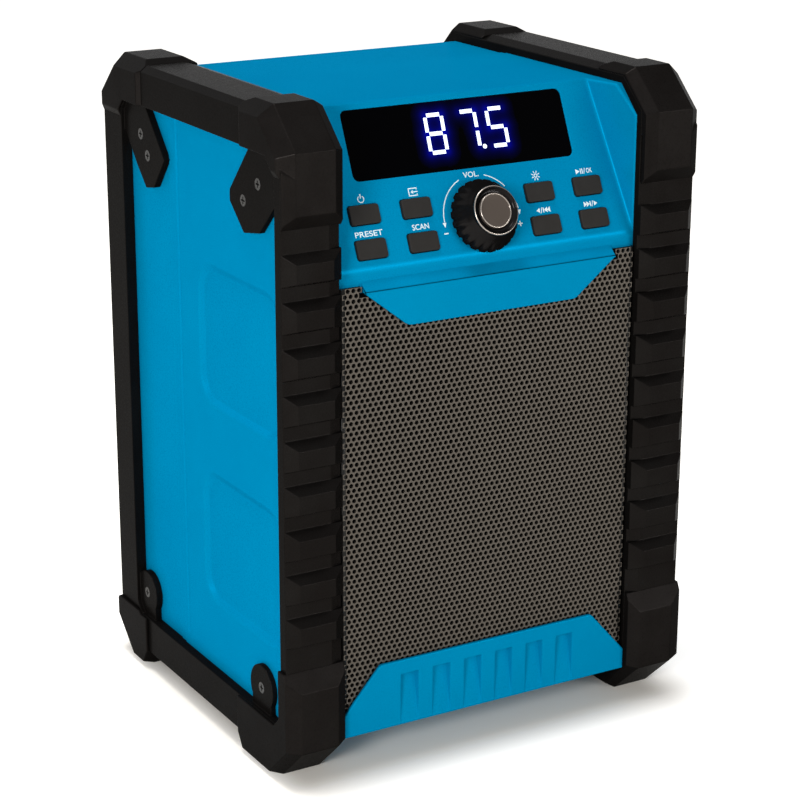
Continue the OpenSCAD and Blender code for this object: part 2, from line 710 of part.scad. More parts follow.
module rear_shell() color(shell_blue) difference() {
  union() {
    difference() {
      union() {
        rear_volume();
        band_volume();
      }
      rear_cavity();
    }
    for (p = screw_places) translate([p[0], 0, p[1]]) rod_y(boss_r, parting_y, back_in + eps);
    for (p = board_corner) translate([p[0], 0, p[1]]) rod_y(board_boss_r, board_y + board_t, back_in + eps);
    intersection() {
      tab_posts();
      box3(-sx, sx, parting_y, yR, 0, H);
    }
    // hinge ears of the battery door and of the socket flap
    both_sides() box3(door_x + ear_gap, door_x + ear_gap + ear_t, back_in, hinge_y + 2.8,
      door_hinge_z - 3.2, door_hinge_z + 3.2);
    for (x = [flap_x0 - ear_gap - flap_ear_t, flap_x1 + ear_gap])
      box3(x, x + flap_ear_t, yR - eps, flap_hinge_y + 2.6, flap_hinge_z - 3, flap_hinge_z + 3);
  }
  for (p = screw_places) translate([p[0], 0, p[1]]) {
    rod_y(shell_screw_r + screw_clear, parting_y - 1, yR + 1);
    rod_y(shell_screw_head_r + screw_clear, yR - screw_sunk, yR + 1);
  }
  box3(-door_x - door_gap, door_x + door_gap, back_in - 1, yR + 4, door_hinge_z - 3.1, door_top + door_gap);
  both_sides() translate([0, hinge_y, door_hinge_z]) rod_x(hinge_pin_r + running_clear, door_x, door_x + 6);
  translate([0, flap_hinge_y, flap_hinge_z]) rod_x(hinge_pin_r + running_clear, flap_x0 - 6, flap_x1 + 6);
  translate([dc_x, 0, socket_z]) socket_block(dc_half_w + socket_gap, dc_half_h + socket_gap, back_in - 1,
    yR + 1);
  translate([aux_x, 0, socket_z]) rod_y(aux_r + socket_gap, back_in - 1, yR + 1);
  translate([usb_x, 0, socket_z])
    socket_block(usb_half_w + socket_gap, usb_half_h + socket_gap, back_in - 1, yR + 1);
  tab_screw_holes();
}

module trim_outline(inset, y0, y1) {
  xz_prism([[-ix + grille_gap, zB], [ix - grille_gap, zB], [ix - grille_gap, zB + trim_end_height - inset],
    [trim_half_top - inset * 0.4, zB + trim_height - inset],
      [-trim_half_top + inset * 0.4, zB + trim_height - inset],
    [-ix + grille_gap, zB + trim_end_height - inset]], y0, y1);
}
module lower_trim() color(shell_blue) difference() {
  union() {
    trim_outline(0, trim_y, lip_back);
    trim_outline(3.4, lip_back - eps, yF);
  }
  for (i = [0 : vent_count - 1]) let (x = (i - (vent_count - 1) / 2) * vent_pitch)
    yz_prism([[trim_y - 1, zB - 1], [trim_y, zB], [trim_y + vent_depth, zB + vent_height],
      [trim_y - 1, zB + vent_height]],
      x - vent_width / 2, x + vent_width / 2);
}
module grille() color([0.3, 0.29, 0.28]) {
  gx = ix - grille_gap;
  nx = apron_half_top + grille_gap;
  xz_prism([[-gx, zB + trim_end_height - 3.4 + grille_gap],
    [-trim_half_top + 1.4, zB + trim_height - 3.4 + grille_gap],
    [trim_half_top - 1.4, zB + trim_height - 3.4 + grille_gap],
      [gx, zB + trim_end_height - 3.4 + grille_gap],
    [gx, grille_top], [nx, grille_top], [nx, notch_z], [-nx, notch_z], [-nx, grille_top],
      [-gx, grille_top]],
    grille_front, grille_back);
  both_sides() box3(gx - grille_sheet, gx, grille_back - eps, yF, zB + trim_end_height, grille_top);
}
module dust_cloth() color([0.03, 0.03, 0.03])
  box3(-recess_x, recess_x, yF + 0.4, yF + 0.9, recess_z0, recess_z1);

// ---------------------------------------------------------------- side cages
module window_room() {
  c = window_chamfer;
  yz_prism([[win_y0 + c, win_z0], [win_y1 - c, win_z0], [win_y1, win_z0 + c], [win_y1, win_z1 - c],
    [win_y1 - c, win_z1], [win_y0 + c, win_z1], [win_y0, win_z1 - c], [win_y0, win_z0 + c]],
      sx - rear_step - 0.5, hx + 1);
}
// Posts and rails of a cage as one block, reaching inward past the cage by grow
module core_volume(grow) {
  x0 = ix - grow;
  intersection() {
    yz_prism(chamfer_box(-core_y, core_y, rail_ground_gap, core_top, corner_chamfer_y, corner_chamfer_z),
      x0, px);
    xy_prism([[x0, -core_y + post_facet_drop], [ix, -core_y + post_facet_drop], [ix + post_facet, -core_y],
      [px, -core_y], [px, core_y], [ix + post_facet, core_y], [ix, core_y - post_facet_drop],
      [x0, core_y - post_facet_drop]], 0, H);
    xz_prism([[x0, 0], [px, 0], [px, H - rail_edge_drop], [rail_facet_x, core_top],
      [ix + post_facet, core_top], [ix, core_top - post_facet_drop], [x0, core_top - post_facet_drop]],
      -hy, hy);
  }
}
module foot_tab(place) {
  translate([0, place[0], place[1]]) rod_x(foot_tab_r, rx, tab_x1);
  box3(rx, tab_x1, place[0] - foot_tab_half, place[0] + foot_tab_half, win_z0 - 2, place[1]);
}
module rib(z, y_sign) {
  yo = -hy;
  yb = -core_y;
  mirror([0, y_sign > 0 ? 1 : 0, 0]) intersection() {
    yz_prism([[yb + 2, z + rib_top_slope], [yb, z + rib_top_slope], [yo, z], [yo, z - rib_face],
      [yb, z - rib_face - rib_bottom_slope], [yb + 2, z - rib_face - rib_bottom_slope]], ix, px);
    xy_prism([[ix, yb + 2.2], [ix, yb], [ix + rib_inner_facet, yo], [px - rib_outer_facet, yo], [px, yb],
      [px, yb + 2.2]],
      z - rib_face - rib_bottom_slope - 1, z + rib_top_slope + 1);
  }
}
module rib_row(z_top, z_low, y_sign) {
  n = floor((z_top - z_low - rib_first_gap - rib_face - rib_bottom_slope) / rib_pitch);
  for (i = [0 : n]) rib(z_top - rib_first_gap - i * rib_pitch, y_sign);
}
module cage_right_solid() {
  difference() {
    union() {
      difference() {
        core_volume(0);
        window_room();
      }
      yz_prism(front_tab_points, rx, tab_x1);
      yz_prism(back_tab_points, rx, tab_x1);
      foot_tab(front_foot_screw);
      foot_tab(back_foot_screw);
      rib_row(H - front_top_bumper_height, front_low_bumper_height, -1);
      rib_row(H - back_bumper_height, back_bumper_height, 1);
    }
    shell_volume();
    for (p = tab_screw_places) translate([0, p[0], p[1]]) {
      rod_x(tab_screw_r, rx - 1, tab_x1 + 1);
      rod_x(tab_screw_head_r, tab_x1 - tab_screw_head_h, px + 2);
    }
  }
}
module cage_right() color(cage_black) cage_right_solid();
module cage_left() color(cage_black) mirror([1, 0, 0]) cage_right_solid();

// Bar with the cross-section of a bumper across the cage, its face on z = 0
module facet_prism(outer, drop) {
  rotate([90, 0, 0]) translate([0, 0, -H - 60]) linear_extrude(height = 2 * H + 120)
    polygon([[ix, -90], [outer, -90], [outer, -drop], [facet_x, 0],
      [ix + inner_facet, 0], [ix, -inner_facet_drop]]);
}
// Outer faces of a bumper: top, front and the corner between them
module bumper_faces(drop) {
  intersection() {
    translate([0, 0, H]) facet_prism(hx, drop);
    translate([0, -hy, 0]) rotate([90, 0, 0]) facet_prism(hx, drop);
    translate([0, -hy, H - corner_chamfer_z]) rotate([atan2(corner_chamfer_z, corner_chamfer_y), 0, 0])
      facet_prism(hx, drop);
  }
}
// A top front right bumper before the cage is taken out of it
module bumper_block(length, height, slope, step, run, drop) {
  intersection() {
    yz_prism([[-hy + length, H - height], [-hy + length, H - step], [-hy + length - run, H],
      [-hy + corner_chamfer_y, H],
      [-hy, H - corner_chamfer_z], [-hy, H - height + slope], [-core_y, H - height]], ix, hx);
    bumper_faces(drop);
  }
}
// Wide upper part of a top bumper; its side plate tapers off at its lower end and along the rail
module wing_block(length, height, slope) {
  taper = hx - px;
  intersection() {
    bumper_block(length, height, slope, bumper_top_step, bumper_end_run, top_drop);
    xz_prism([[ix, H - height], [px, H - height], [hx, H - height + 2 * taper], [hx, H], [ix, H]], -hy, 0);
    xy_prism([[ix, -hy], [hx, -hy], [hx, -hy + length - 2 * taper], [px, -hy + length],
      [ix, -hy + length]], 0, H);
  }
}
// Narrow lower part of the front top bumper, as wide as the ribs
module stem_block() {
  z1 = H - top_wing_height;
  intersection() {
    yz_prism([[-core_y + 1, H - front_top_bumper_height], [-core_y, H - front_top_bumper_height],
      [-hy, H - front_top_bumper_height + front_top_bumper_slope], [-hy, z1],
      [-core_y + 1, z1 + rib_depth + 1]], ix, px);
    translate([0, -hy, 0]) rotate([90, 0, 0]) facet_prism(px, outer_facet_drop);
  }
}
module flip_low() { translate([0, 0, H]) mirror([0, 0, 1]) children(); }
module flip_back() { mirror([0, 1, 0]) children(); }
module cage_taken_out() {
  difference() {
    children();
    core_volume(1);
    window_room();
    shell_volume();
  }
}
module top_front_bumper() cage_taken_out() {
  wing_block(front_top_bumper_length, top_wing_height, 0);
  stem_block();
}
module top_back_bumper() cage_taken_out() flip_back()
  wing_block(back_top_bumper_length, back_bumper_height, back_bumper_slope);
module low_front_bumper() cage_taken_out() flip_low()
  bumper_block(front_low_bumper_length, front_low_bumper_height, front_low_bumper_slope, rail_ground_gap,
    foot_end_run, outer_facet_drop);
module low_back_bumper() cage_taken_out() flip_low() flip_back()
  bumper_block(back_low_bumper_length, back_bumper_height, back_bumper_slope, rail_ground_gap, foot_end_run,
    outer_facet_drop);
module bumper_top_front_right() color(rubber_black) top_front_bumper();
module bumper_top_front_left() color(rubber_black) mirror([1, 0, 0]) top_front_bumper();
module bumper_top_back_right() color(rubber_black) top_back_bumper();
module bumper_top_back_left() color(rubber_black) mirror([1, 0, 0]) top_back_bumper();
module bumper_low_front_right() color(rubber_black) low_front_bumper();
module bumper_low_front_left() color(rubber_black) mirror([1, 0, 0]) low_front_bumper();
module bumper_low_back_right() color(rubber_black) low_back_bumper();
module bumper_low_back_left() color(rubber_black) mirror([1, 0, 0]) low_back_bumper();

module tab_screws() color(steel) for (p = tab_screw_places) both_sides() translate([0, p[0], p[1]]) {
  rod_x(tab_screw_r, tab_x1 - tab_screw_head_h - tab_screw_length, tab_x1 - tab_screw_head_h);
  difference() {
    rod_x(tab_screw_head_r, tab_x1 - tab_screw_head_h, tab_x1);
    box3(tab_x1 - 0.6, tab_x1 + 1, -0.35, 0.35, -1.6, 1.6);
    box3(tab_x1 - 0.6, tab_x1 + 1, -1.6, 1.6, -0.35, 0.35);
  }
}
module shell_screws() color(steel) for (p = screw_places) translate([p[0], 0, p[1]]) {
  head_y = yR - screw_sunk + screw_head_h;
  slot = [0.5, 2.3, 1.2];
  rod_y(shell_screw_r, screw_tip_y, yR - screw_sunk);
  difference() {
    rod_y(shell_screw_head_r, yR - screw_sunk, head_y);
    box3(-slot[0], slot[0], head_y - slot[2], yR, -slot[1], slot[1]);
    box3(-slot[1], slot[1], head_y - slot[2], yR, -slot[0], slot[0]);
  }
}

// ---------------------------------------------------------------- control panel
module display_window() color([0.02, 0.02, 0.03]) on_panel() translate([display_x, display_t, 0]) {
  translate([0, 0, -wall - eps]) rounded_plate(display_width, display_height, display_r,
    wall - display_sink + eps);
  translate([0, 0, -wall - window_flange_h])
    rounded_plate(display_width + 2 * display_flange, display_height, display_r, window_flange_h);
}
module display_module() color(board_green) on_panel() translate([display_x, display_t, 0]) {
  w = display_width - 2 * module_side;
  l = display_height - 2 * module_end;
  low = -wall - window_flange_h - module_h;
  translate([-w / 2, -l / 2, low]) cube([w, l, module_h]);
  translate([-w / 2 - 4, -l / 2 - 2, low - board_t]) cube([w + 8, l + 4, board_t + eps]);
}
module push_button(i) color([0.12, 0.12, 0.12]) on_panel()
  translate([button_places[i][0], button_places[i][1], 0]) {
  translate([0, 0, -button_depth])
    rounded_plate(button_width, button_height, button_r, button_depth + button_proud);
  translate([0, 0, -wall - collar_gap - collar_h])
    rounded_plate(button_width + 2 * button_collar, button_height + 2 * button_collar, button_r, collar_h);
}
module button_power() push_button(0);
module button_source() push_button(1);
module button_preset() push_button(2);
module button_scan() push_button(3);
module button_light() push_button(4);
module button_play() push_button(5);
module button_back() push_button(6);
module button_next() push_button(7);
module keypad_mat() color([0.25, 0.25, 0.25]) on_panel() difference() {
  union() {
    for (s = [-1, 1]) translate([s * mat_x, knob_t, -board_h + switch_h + mat_gap])
      rounded_plate(mat_w, mat_l, 2, mat_h);
    translate([-mat_x + mat_w / 2 - 1, knob_t + 10, -board_h + switch_h + mat_gap])
      cube([2 * mat_x - mat_w + 2, 3, mat_h]);
    for (s = [-1, 1]) translate([s * mat_x, knob_t, -board_h]) difference() {
      rounded_plate(mat_w, mat_l, 2, switch_h + mat_gap + eps);
      translate([0, 0, -1]) rounded_plate(mat_w - 2 * mat_rim, mat_l - 2 * mat_rim, 1.5, switch_h + 2);
    }
  }
  translate([0, knob_t, -20]) cylinder(r = 9.5, h = 30);
}
module control_board() color(board_green) on_panel() difference() {
  translate([-board_half, board_low_t, -board_h - board_t]) cube([2 * board_half, board_l, board_t]);
  translate([0, knob_t, -20]) cylinder(r = encoder_shaft_r + 1, h = 30);
}
module tact_switches() color([0.6, 0.6, 0.6]) on_panel() for (p = button_places)
  translate([p[0], p[1], -board_h]) {
    translate([-switch_w / 2, -switch_w / 2, 0]) cube([switch_w, switch_w, switch_h - 0.5]);
    cylinder(r = 1.7, h = switch_h);
  }
module encoder_body() color([0.5, 0.5, 0.52]) on_panel() translate([0, knob_t, 0]) difference() {
  union() {
    translate([-encoder_w / 2, -encoder_w / 2, -board_h]) cube([encoder_w, encoder_w, board_h - wall]);
    translate([0, 0, -wall - eps]) cylinder(r = encoder_bush_r, h = wall + 0.2);
  }
  translate([0, 0, -20]) cylinder(r = encoder_shaft_r + running_clear, h = 40);
}
module encoder_shaft() color(steel) on_panel() translate([0, knob_t, -board_h + 0.3])
  cylinder(r = encoder_shaft_r, h = board_h - 0.3 + knob_height - disc_seat);
module volume_knob() color([0.05, 0.05, 0.06]) on_panel() translate([0, knob_t, 0]) difference() {
  rotate_extrude() polygon([[encoder_shaft_r, knob_gap], [knob_r, knob_gap], [knob_r, knob_gap + 2.4],
    [knob_r - 1, knob_gap + 3.6], [knob_r - 3.4, knob_gap + 5.4], [knob_crown_r + 0.5, knob_height - 4],
    [knob_crown_r, knob_height - 1.6], [knob_crown_r - 0.3, knob_height], [knob_crown_r - 1.1, knob_height],
    [knob_crown_r - 1.7, knob_height - 1.6], [knob_disc_r, knob_height - 1.6],
      [knob_disc_r, knob_height - disc_seat],
    [0, knob_height - disc_seat], [0, knob_height - disc_seat - 0.2],
      [encoder_shaft_r, knob_height - disc_seat - 0.2]]);
  translate([0, 0, -1]) cylinder(r = encoder_shaft_r, h = knob_height - 2.2);
  translate([0, 0, -1]) cylinder(r = encoder_bush_r + 0.6, h = 1 + knob_gap + 1.2);
  for (i = [0 : knob_flutes - 1]) rotate([0, 0, i * 360 / knob_flutes])
    translate([knob_r + knob_flute_r * 0.35, 0, -1]) cylinder(r = knob_flute_r, h = 8);
}
module knob_disc() color([0.36, 0.34, 0.32]) on_panel() translate([0, knob_t, 0]) rotate_extrude()
  polygon([[0, knob_height - disc_seat], [knob_disc_r, knob_height - disc_seat],
    [knob_disc_r, knob_height - 0.8],
    [knob_disc_r - 0.6, knob_height - 0.2], [0, knob_height - 0.2]]);

// ---------------------------------------------------------------- electronics
board_x0 = dc_x - board_beyond_dc;
board_x1 = usb_x + board_beyond_usb;
board_margin = 4;
board_corner = [for (x = [board_x0 + board_margin, board_x1 - board_margin],
  z = [board_z0 + board_margin, board_z1 - board_margin]) [x, z]];
sink_x = board_x0 + sink_inset;
sink_end = sink_x + (sink_fins - 1) * fin_pitch + fin_t;
cap_pitch = 14;
module main_board() color(board_green)
  box3(board_x0, board_x1, board_y, board_y + board_t, board_z0, board_z1);
module heat_sink() color([0.62, 0.63, 0.65]) {
  z = board_z1 - sink_h - sink_drop;
  box3(sink_x, sink_end, board_y - sink_base, board_y, z, z + sink_h);
  for (i = [0 : sink_fins - 1]) let (x = sink_x + i * fin_pitch)
    box3(x, x + fin_t, board_y - sink_base - fin_l, board_y - sink_base + eps, z, z + sink_h);
}
module capacitors() color([0.15, 0.2, 0.35]) for (i = [0, 1], j = [0, 1])
  translate([sink_end + cap_inset + i * cap_pitch, 0, board_z1 - cap_drop - j * (cap_pitch + 2)])
    rod_y(cap_r, board_y - cap_l, board_y);

// ---------------------------------------------------------------- speaker
module on_woofer() { translate([0, baffle_front, woofer_z]) rotate([90, 0, 0]) children(); }
wr = woofer_hole_r - 0.5;
wf = woofer_flange_h;
basket_z = -woofer_basket_depth;
cone_rim_r = wr - surround_w - 1;
cone_slope = (wf - 0.9 + cone_depth) / (cone_rim_r - cone_neck_r);
function cone_z(r) = -cone_depth + (r - cone_neck_r) * cone_slope;
cap_edge_z = cone_z(dust_cap_r) + 0.04;
module woofer_basket() color([0.1, 0.1, 0.11]) on_woofer() difference() {
  rotate_extrude() polygon([[wr - 3, woofer_flange_h], [woofer_flange_r, woofer_flange_h],
    [woofer_flange_r, 0],
    [wr, 0], [basket_foot_r, basket_z + 2], [basket_foot_r, basket_z], [basket_bore_r, basket_z],
    [basket_bore_r, basket_z + 2], [basket_foot_r - 2.5, basket_z + 2.5], [wr - 3, -2]]);
  for (a = [0 : 60 : 300]) rotate([0, 0, a]) translate([basket_foot_r - 4, -basket_slot / 2, basket_z + 5])
    cube([40, basket_slot, woofer_basket_depth - 11]);
  for (a = [45 : 90 : 315]) rotate([0, 0, a]) translate([woofer_screw_r, 0, -1])
    cylinder(r = woofer_shank_r, h = 6);
}
module woofer_magnet() color([0.16, 0.16, 0.17]) on_woofer() {
  translate([0, 0, basket_z - woofer_magnet_h]) cylinder(r = woofer_magnet_r, h = woofer_magnet_h);
  translate([0, 0, basket_z - eps]) cylinder(r = voice_coil_r, h = 13);
}
module woofer_surround() color([0.08, 0.08, 0.08]) on_woofer() rotate_extrude() polygon([
  [wr - surround_w, wf - 0.6], [wr - surround_w + 1.6, wf + 1.2], [wr - 4.4, wf + 1.8], [wr - 2.4, wf + 1.5],
  [wr - 1, wf + 0.5], [wr + 2.6, wf + 0.5], [wr + 2.6, wf], [wr - 1.6, wf], [wr - 3, wf + 0.9],
  [wr - 4.4, wf + 1.1], [wr - 6, wf + 0.6], [wr - surround_w + 0.6, wf - 0.9]]);
module woofer_cone() color([0.13, 0.13, 0.13]) on_woofer() rotate_extrude() polygon([
  [wr - surround_w, wf - 0.6], [wr - surround_w + 0.6, wf - 0.9], [wr - surround_w - 0.4, wf - 1.8],
  [cone_neck_r, -cone_depth - 1], [cone_neck_r, -cone_depth], [cone_rim_r, wf - 0.9]]);
module dust_cap() color([0.1, 0.1, 0.1]) on_woofer() rotate_extrude() polygon([
  [0, cap_edge_z + 5.25], [0.38 * dust_cap_r, cap_edge_z + 4.65], [0.69 * dust_cap_r, cap_edge_z + 2.85],
  [dust_cap_r - 1.5, cone_z(dust_cap_r - 1.5) + 0.2], [dust_cap_r, cap_edge_z],
  [dust_cap_r - 1.2, cone_z(dust_cap_r - 1.2) + 1.4], [0.65 * dust_cap_r, cap_edge_z + 3.65],
  [0.35 * dust_cap_r, cap_edge_z + 5.45], [0, cap_edge_z + 6.05]]);
module woofer_screws() color(steel) on_woofer() for (a = [45 : 90 : 315])
  rotate([0, 0, a]) translate([woofer_screw_r, 0, 0]) {
    translate([0, 0, -woofer_shank_l]) cylinder(r = woofer_shank_r, h = woofer_shank_l + wf);
    translate([0, 0, wf]) cylinder(r = 2.1, h = 1);
  }

// ---------------------------------------------------------------- battery bay
module battery_box() color([0.12, 0.12, 0.12]) difference() {
  union() {
    box3(-box_x - box_wall, box_x + box_wall, back_in - box_depth - box_wall, back_in,
      box_z0 - box_wall, box_z1 + box_wall);
    box3(-door_x - 4, door_x + 4, back_in - 2, back_in, box_z0 - 9, box_z1 + 5);
  }
  box3(-box_x, box_x, back_in - box_depth, back_in + 1, box_z0, box_z1);
  translate([0, 0, lock_z]) rod_y(lock_reach + 0.6, back_in - 1.9, back_in + 1);
  both_sides() box3(door_x, door_x + 5, back_in - 3, back_in + 1, door_hinge_z - 4, door_hinge_z + 4);
}
module battery_cells() color([0.75, 0.6, 0.2]) for (i = [0 : cell_rows - 1]) both_sides()
  translate([0, back_in - box_depth + cell_d / 2 + 0.3, box_z0 + 0.4 + cell_d / 2 + i * (cell_d + 0.3)]) {
    rod_x(cell_d / 2, 0.6, cell_length - 1.1);
    rod_x(cell_pole_r, cell_length - 1.11, cell_length + 0.3);
  }
module battery_contacts() color([0.8, 0.8, 0.8]) both_sides() for (i = [0 : cell_rows - 1])
  translate([0, back_in - box_depth + cell_d / 2 + 0.3, box_z0 + 0.4 + cell_d / 2 + i * (cell_d + 0.3)])
    box3(box_x - contact_plate, box_x, -contact_half, contact_half, -contact_half, contact_half);
module battery_door() color(cage_black) difference() {
  union() {
    box3(-door_x, door_x, yR - door_thickness, yR, door_hinge_z, door_top);
    translate([0, hinge_y, door_hinge_z]) rod_x(hinge_barrel_r, -door_x, door_x);
    translate([0, hinge_y, door_hinge_z]) rod_x(hinge_pin_r, -door_x - 4, door_x + 4);
    for (i = [0 : 4]) let (z = door_hinge_z + 14 + i * 5)
      box3(-door_x + 20, door_x - 20, yR - eps, yR + 0.8, z, z + 2);
  }
  translate([0, 0, lock_z]) rod_y(lock_r + running_clear, back_in - 1, yR + 2);
}
module door_lock() color([0.16, 0.16, 0.17]) translate([0, 0, lock_z]) difference() {
  union() {
    rod_y(lock_r, back_in - 0.3, yR + 0.6);
    box3(-3, lock_reach, back_in - 1.5, back_in - 0.3 + eps, -3, 3);
  }
  box3(-6, 6, yR - 1, yR + 1, -0.9, 0.9);
}

// ---------------------------------------------------------------- rear sockets
module dc_inlet() color([0.1, 0.1, 0.1]) translate([dc_x, 0, socket_z]) {
  difference() {
    socket_block(dc_half_w, dc_half_h, board_y + board_t, yR - socket_sunk);
    rod_y(dc_bore_r, yR - 9.8, yR);
  }
  rod_y(dc_pin_r, yR - 10, yR - 1.6);
}
module audio_socket() color([0.1, 0.1, 0.1]) translate([aux_x, 0, socket_z]) difference() {
  union() {
    rod_y(aux_r, back_in - 1, yR - 0.6);
    socket_block(aux_r + 0.5, aux_r + 0.5, board_y + board_t, back_in - 0.9);
  }
  rod_y(aux_bore_r, board_y + board_t + 0.5, yR);
}
module usb_socket() color([0.55, 0.56, 0.58]) translate([usb_x, 0, socket_z]) difference() {
  socket_block(usb_half_w, usb_half_h, board_y + board_t, yR - socket_sunk);
  socket_block(usb_half_w - 1, usb_half_h - 1.1, yR - 10, yR);
}
module socket_flap() color(rubber_black) {
  box3(flap_x0, flap_x1, yR + flap_rest, yR + flap_rest + flap_thickness, flap_hinge_z - flap_height,
    flap_hinge_z);
  translate([0, flap_hinge_y, flap_hinge_z]) rod_x(hinge_barrel_r, flap_x0, flap_x1);
  translate([0, flap_hinge_y, flap_hinge_z]) rod_x(hinge_pin_r, flap_x0 - 4, flap_x1 + 4);
  translate([(flap_x0 + flap_x1) / 2, yR + flap_rest, flap_hinge_z - flap_height])
    box3(-7, 7, 0, flap_thickness + 1.4, -3, 1);
}

// ---------------------------------------------------------------- aerial
// Local frame of the folded aerial: x along it, y out of the back, z to the right
module on_aerial() { translate([-aerial_x, 0, aerial_z]) mirror([1, 0, -1]) children(); }
module aerial_base() color([0.1, 0.1, 0.1]) on_aerial() {
  rod_y(8, yR, yR + 2.6);
  rod_y(pivot_r, yR + 2.59, yR + 7);
}
module aerial_clip() color([0.1, 0.1, 0.1]) on_aerial() {
  side = r1 + clip_gap;
  box3(clip_x, clip_x + clip_length, yR, aerial_y + 2, -side - clip_wall, -side);
  box3(clip_x, clip_x + clip_length, yR, aerial_y - side, -side - eps, r1);
}
module aerial_knuckle() color([0.12, 0.12, 0.12]) on_aerial() difference() {
  union() {
    rod_y(6.4, yR + 2.9, yR + 11);
    for (s = [-4.5, 2.3]) {
      box3(2, pin_reach, aerial_y - fork_r, aerial_y + fork_r, s, s + fork_t);
      translate([pin_reach, aerial_y, s]) cylinder(r = fork_r, h = fork_t);
    }
    translate([pin_reach, aerial_y, -4.4]) cylinder(r = aerial_pin_r, h = 8.8);
  }
  rod_y(pivot_r + running_clear, yR + 2, yR + 7.3);
}
module aerial_tube() color(steel) on_aerial() translate([0, aerial_y, 0]) difference() {
  union() {
    translate([pin_reach, 0, -2]) cylinder(r = 3.2, h = 4);
    box3(pin_reach, tube_start + 1, -2.6, 2.6, -2, 2);
    rod_x(r1, tube_start, tube_end);
  }
  translate([pin_reach, 0, -5]) cylinder(r = aerial_pin_r + running_clear, h = 10);
  rod_x(r2 + aerial_clear, tube_start + 4, tube_end + 2);
}
module aerial_section(ro, ri, start, out) {
  on_aerial() translate([0, aerial_y, 0]) difference() {
    rod_x(ro, tube_start + start, tube_end + out);
    if (ri > 0) rod_x(ri, tube_start + start + 2, tube_end + out + 2);
  }
}
module aerial_second() color(steel) aerial_section(r2, r3 + aerial_clear, 5, 1.5);
module aerial_third() color(steel) aerial_section(r3, r4 + aerial_clear, 8, 3);
module aerial_tip() color(steel) {
  aerial_section(r4, 0, 11, 4);
  on_aerial() translate([0, aerial_y, 0]) rod_x(r1, tube_end + 3.6, tube_end + tip_length);
}

// ---------------------------------------------------------------- the part
front_shell();
rear_shell();
lower_trim();
grille();
dust_cloth();
cage_left();
cage_right();
bumper_top_front_left();
bumper_top_front_right();
bumper_top_back_left();
bumper_top_back_right();
bumper_low_front_left();
bumper_low_front_right();
bumper_low_back_left();
bumper_low_back_right();
tab_screws();
shell_screws();
display_window();
display_module();
button_power();
button_source();
button_preset();
button_scan();
button_light();
button_play();
button_back();
button_next();
keypad_mat();
control_board();
tact_switches();
encoder_body();
encoder_shaft();
volume_knob();
knob_disc();
main_board();
heat_sink();
capacitors();
woofer_basket();
woofer_magnet();
woofer_cone();
woofer_surround();
dust_cap();
woofer_screws();
battery_box();
battery_contacts();
battery_cells();
battery_door();
door_lock();
dc_inlet();
audio_socket();
usb_socket();
socket_flap();
aerial_base();
aerial_clip();
aerial_knuckle();
aerial_tube();
aerial_second();
aerial_third();
aerial_tip();
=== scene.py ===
"""Dressed model of a rugged worksite radio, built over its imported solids.

The sizes here are in millimetres and become metres when a mesh is placed.
+X is to the right of the front, -Y is the front, +Z is up, and the floor is at z 0.
"""

import logging
import math
from collections.abc import Callable, Iterable, Mapping
from dataclasses import dataclass, field
from enum import Enum

import bmesh
import bpy
from mathutils import Matrix, Vector


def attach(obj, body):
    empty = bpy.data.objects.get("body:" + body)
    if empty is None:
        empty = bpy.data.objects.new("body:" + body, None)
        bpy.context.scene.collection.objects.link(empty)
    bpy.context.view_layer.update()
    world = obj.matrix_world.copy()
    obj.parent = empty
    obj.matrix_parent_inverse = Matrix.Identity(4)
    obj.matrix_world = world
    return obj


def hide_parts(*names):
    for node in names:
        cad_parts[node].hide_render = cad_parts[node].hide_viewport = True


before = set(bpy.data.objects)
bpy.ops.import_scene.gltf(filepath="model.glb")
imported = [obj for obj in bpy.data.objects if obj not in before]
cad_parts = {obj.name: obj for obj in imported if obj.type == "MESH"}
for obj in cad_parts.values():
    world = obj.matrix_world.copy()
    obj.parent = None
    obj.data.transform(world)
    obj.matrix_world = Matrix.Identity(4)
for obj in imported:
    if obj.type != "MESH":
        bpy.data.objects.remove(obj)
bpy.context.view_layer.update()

log = logging.getLogger("radio")
MM = 0.001
METRES = Matrix.Scale(MM, 4)


# ------------------------------------------------------------------ nodes and colours
def linear(code: str) -> tuple[float, float, float, float]:
    """Turns an sRGB hex colour into a linear one.

    Args:
        code: Six hex digits, such as "0A84B4".

    Returns:
        Red, green, blue and an alpha of 1.
    """
    channels = [int(code[i : i + 2], 16) / 255 for i in (0, 2, 4)]
    red, green, blue = (c / 12.92 if c <= 0.04045 else ((c + 0.055) / 1.055) ** 2.4 for c in channels)
    return (red, green, blue, 1.0)


def per_metre(size: float) -> float:
    """Gives the noise scale at which a pattern repeats about every size millimetres."""
    return 1.0 / (size * MM)


def feed(tree: bpy.types.NodeTree, node: bpy.types.Node, inputs: Mapping[str | int, object]) -> None:
    """Sets a node's inputs by name or number, and links those whose value is itself a socket."""
    for key, value in inputs.items():
        if isinstance(value, bpy.types.NodeSocket):
            tree.links.new(value, node.inputs[key])
        else:
            node.inputs[key].default_value = value


def add_node(
    tree: bpy.types.NodeTree,
    kind: str,
    inputs: Mapping[str | int, object] | None = None,
    **settings: object,
) -> bpy.types.Node:
    """Adds a node with its settings, socket values and links.

    Args:
        tree: The node tree that takes the node.
        kind: The node's type name.
        inputs: A value, or an output socket to link, for each input by its name or number.
        **settings: Attributes of the node itself.

    Returns:
        The new node.
    """
    node = tree.nodes.new(kind)
    for name, value in settings.items():
        setattr(node, name, value)
    feed(tree, node, inputs or {})
    return node


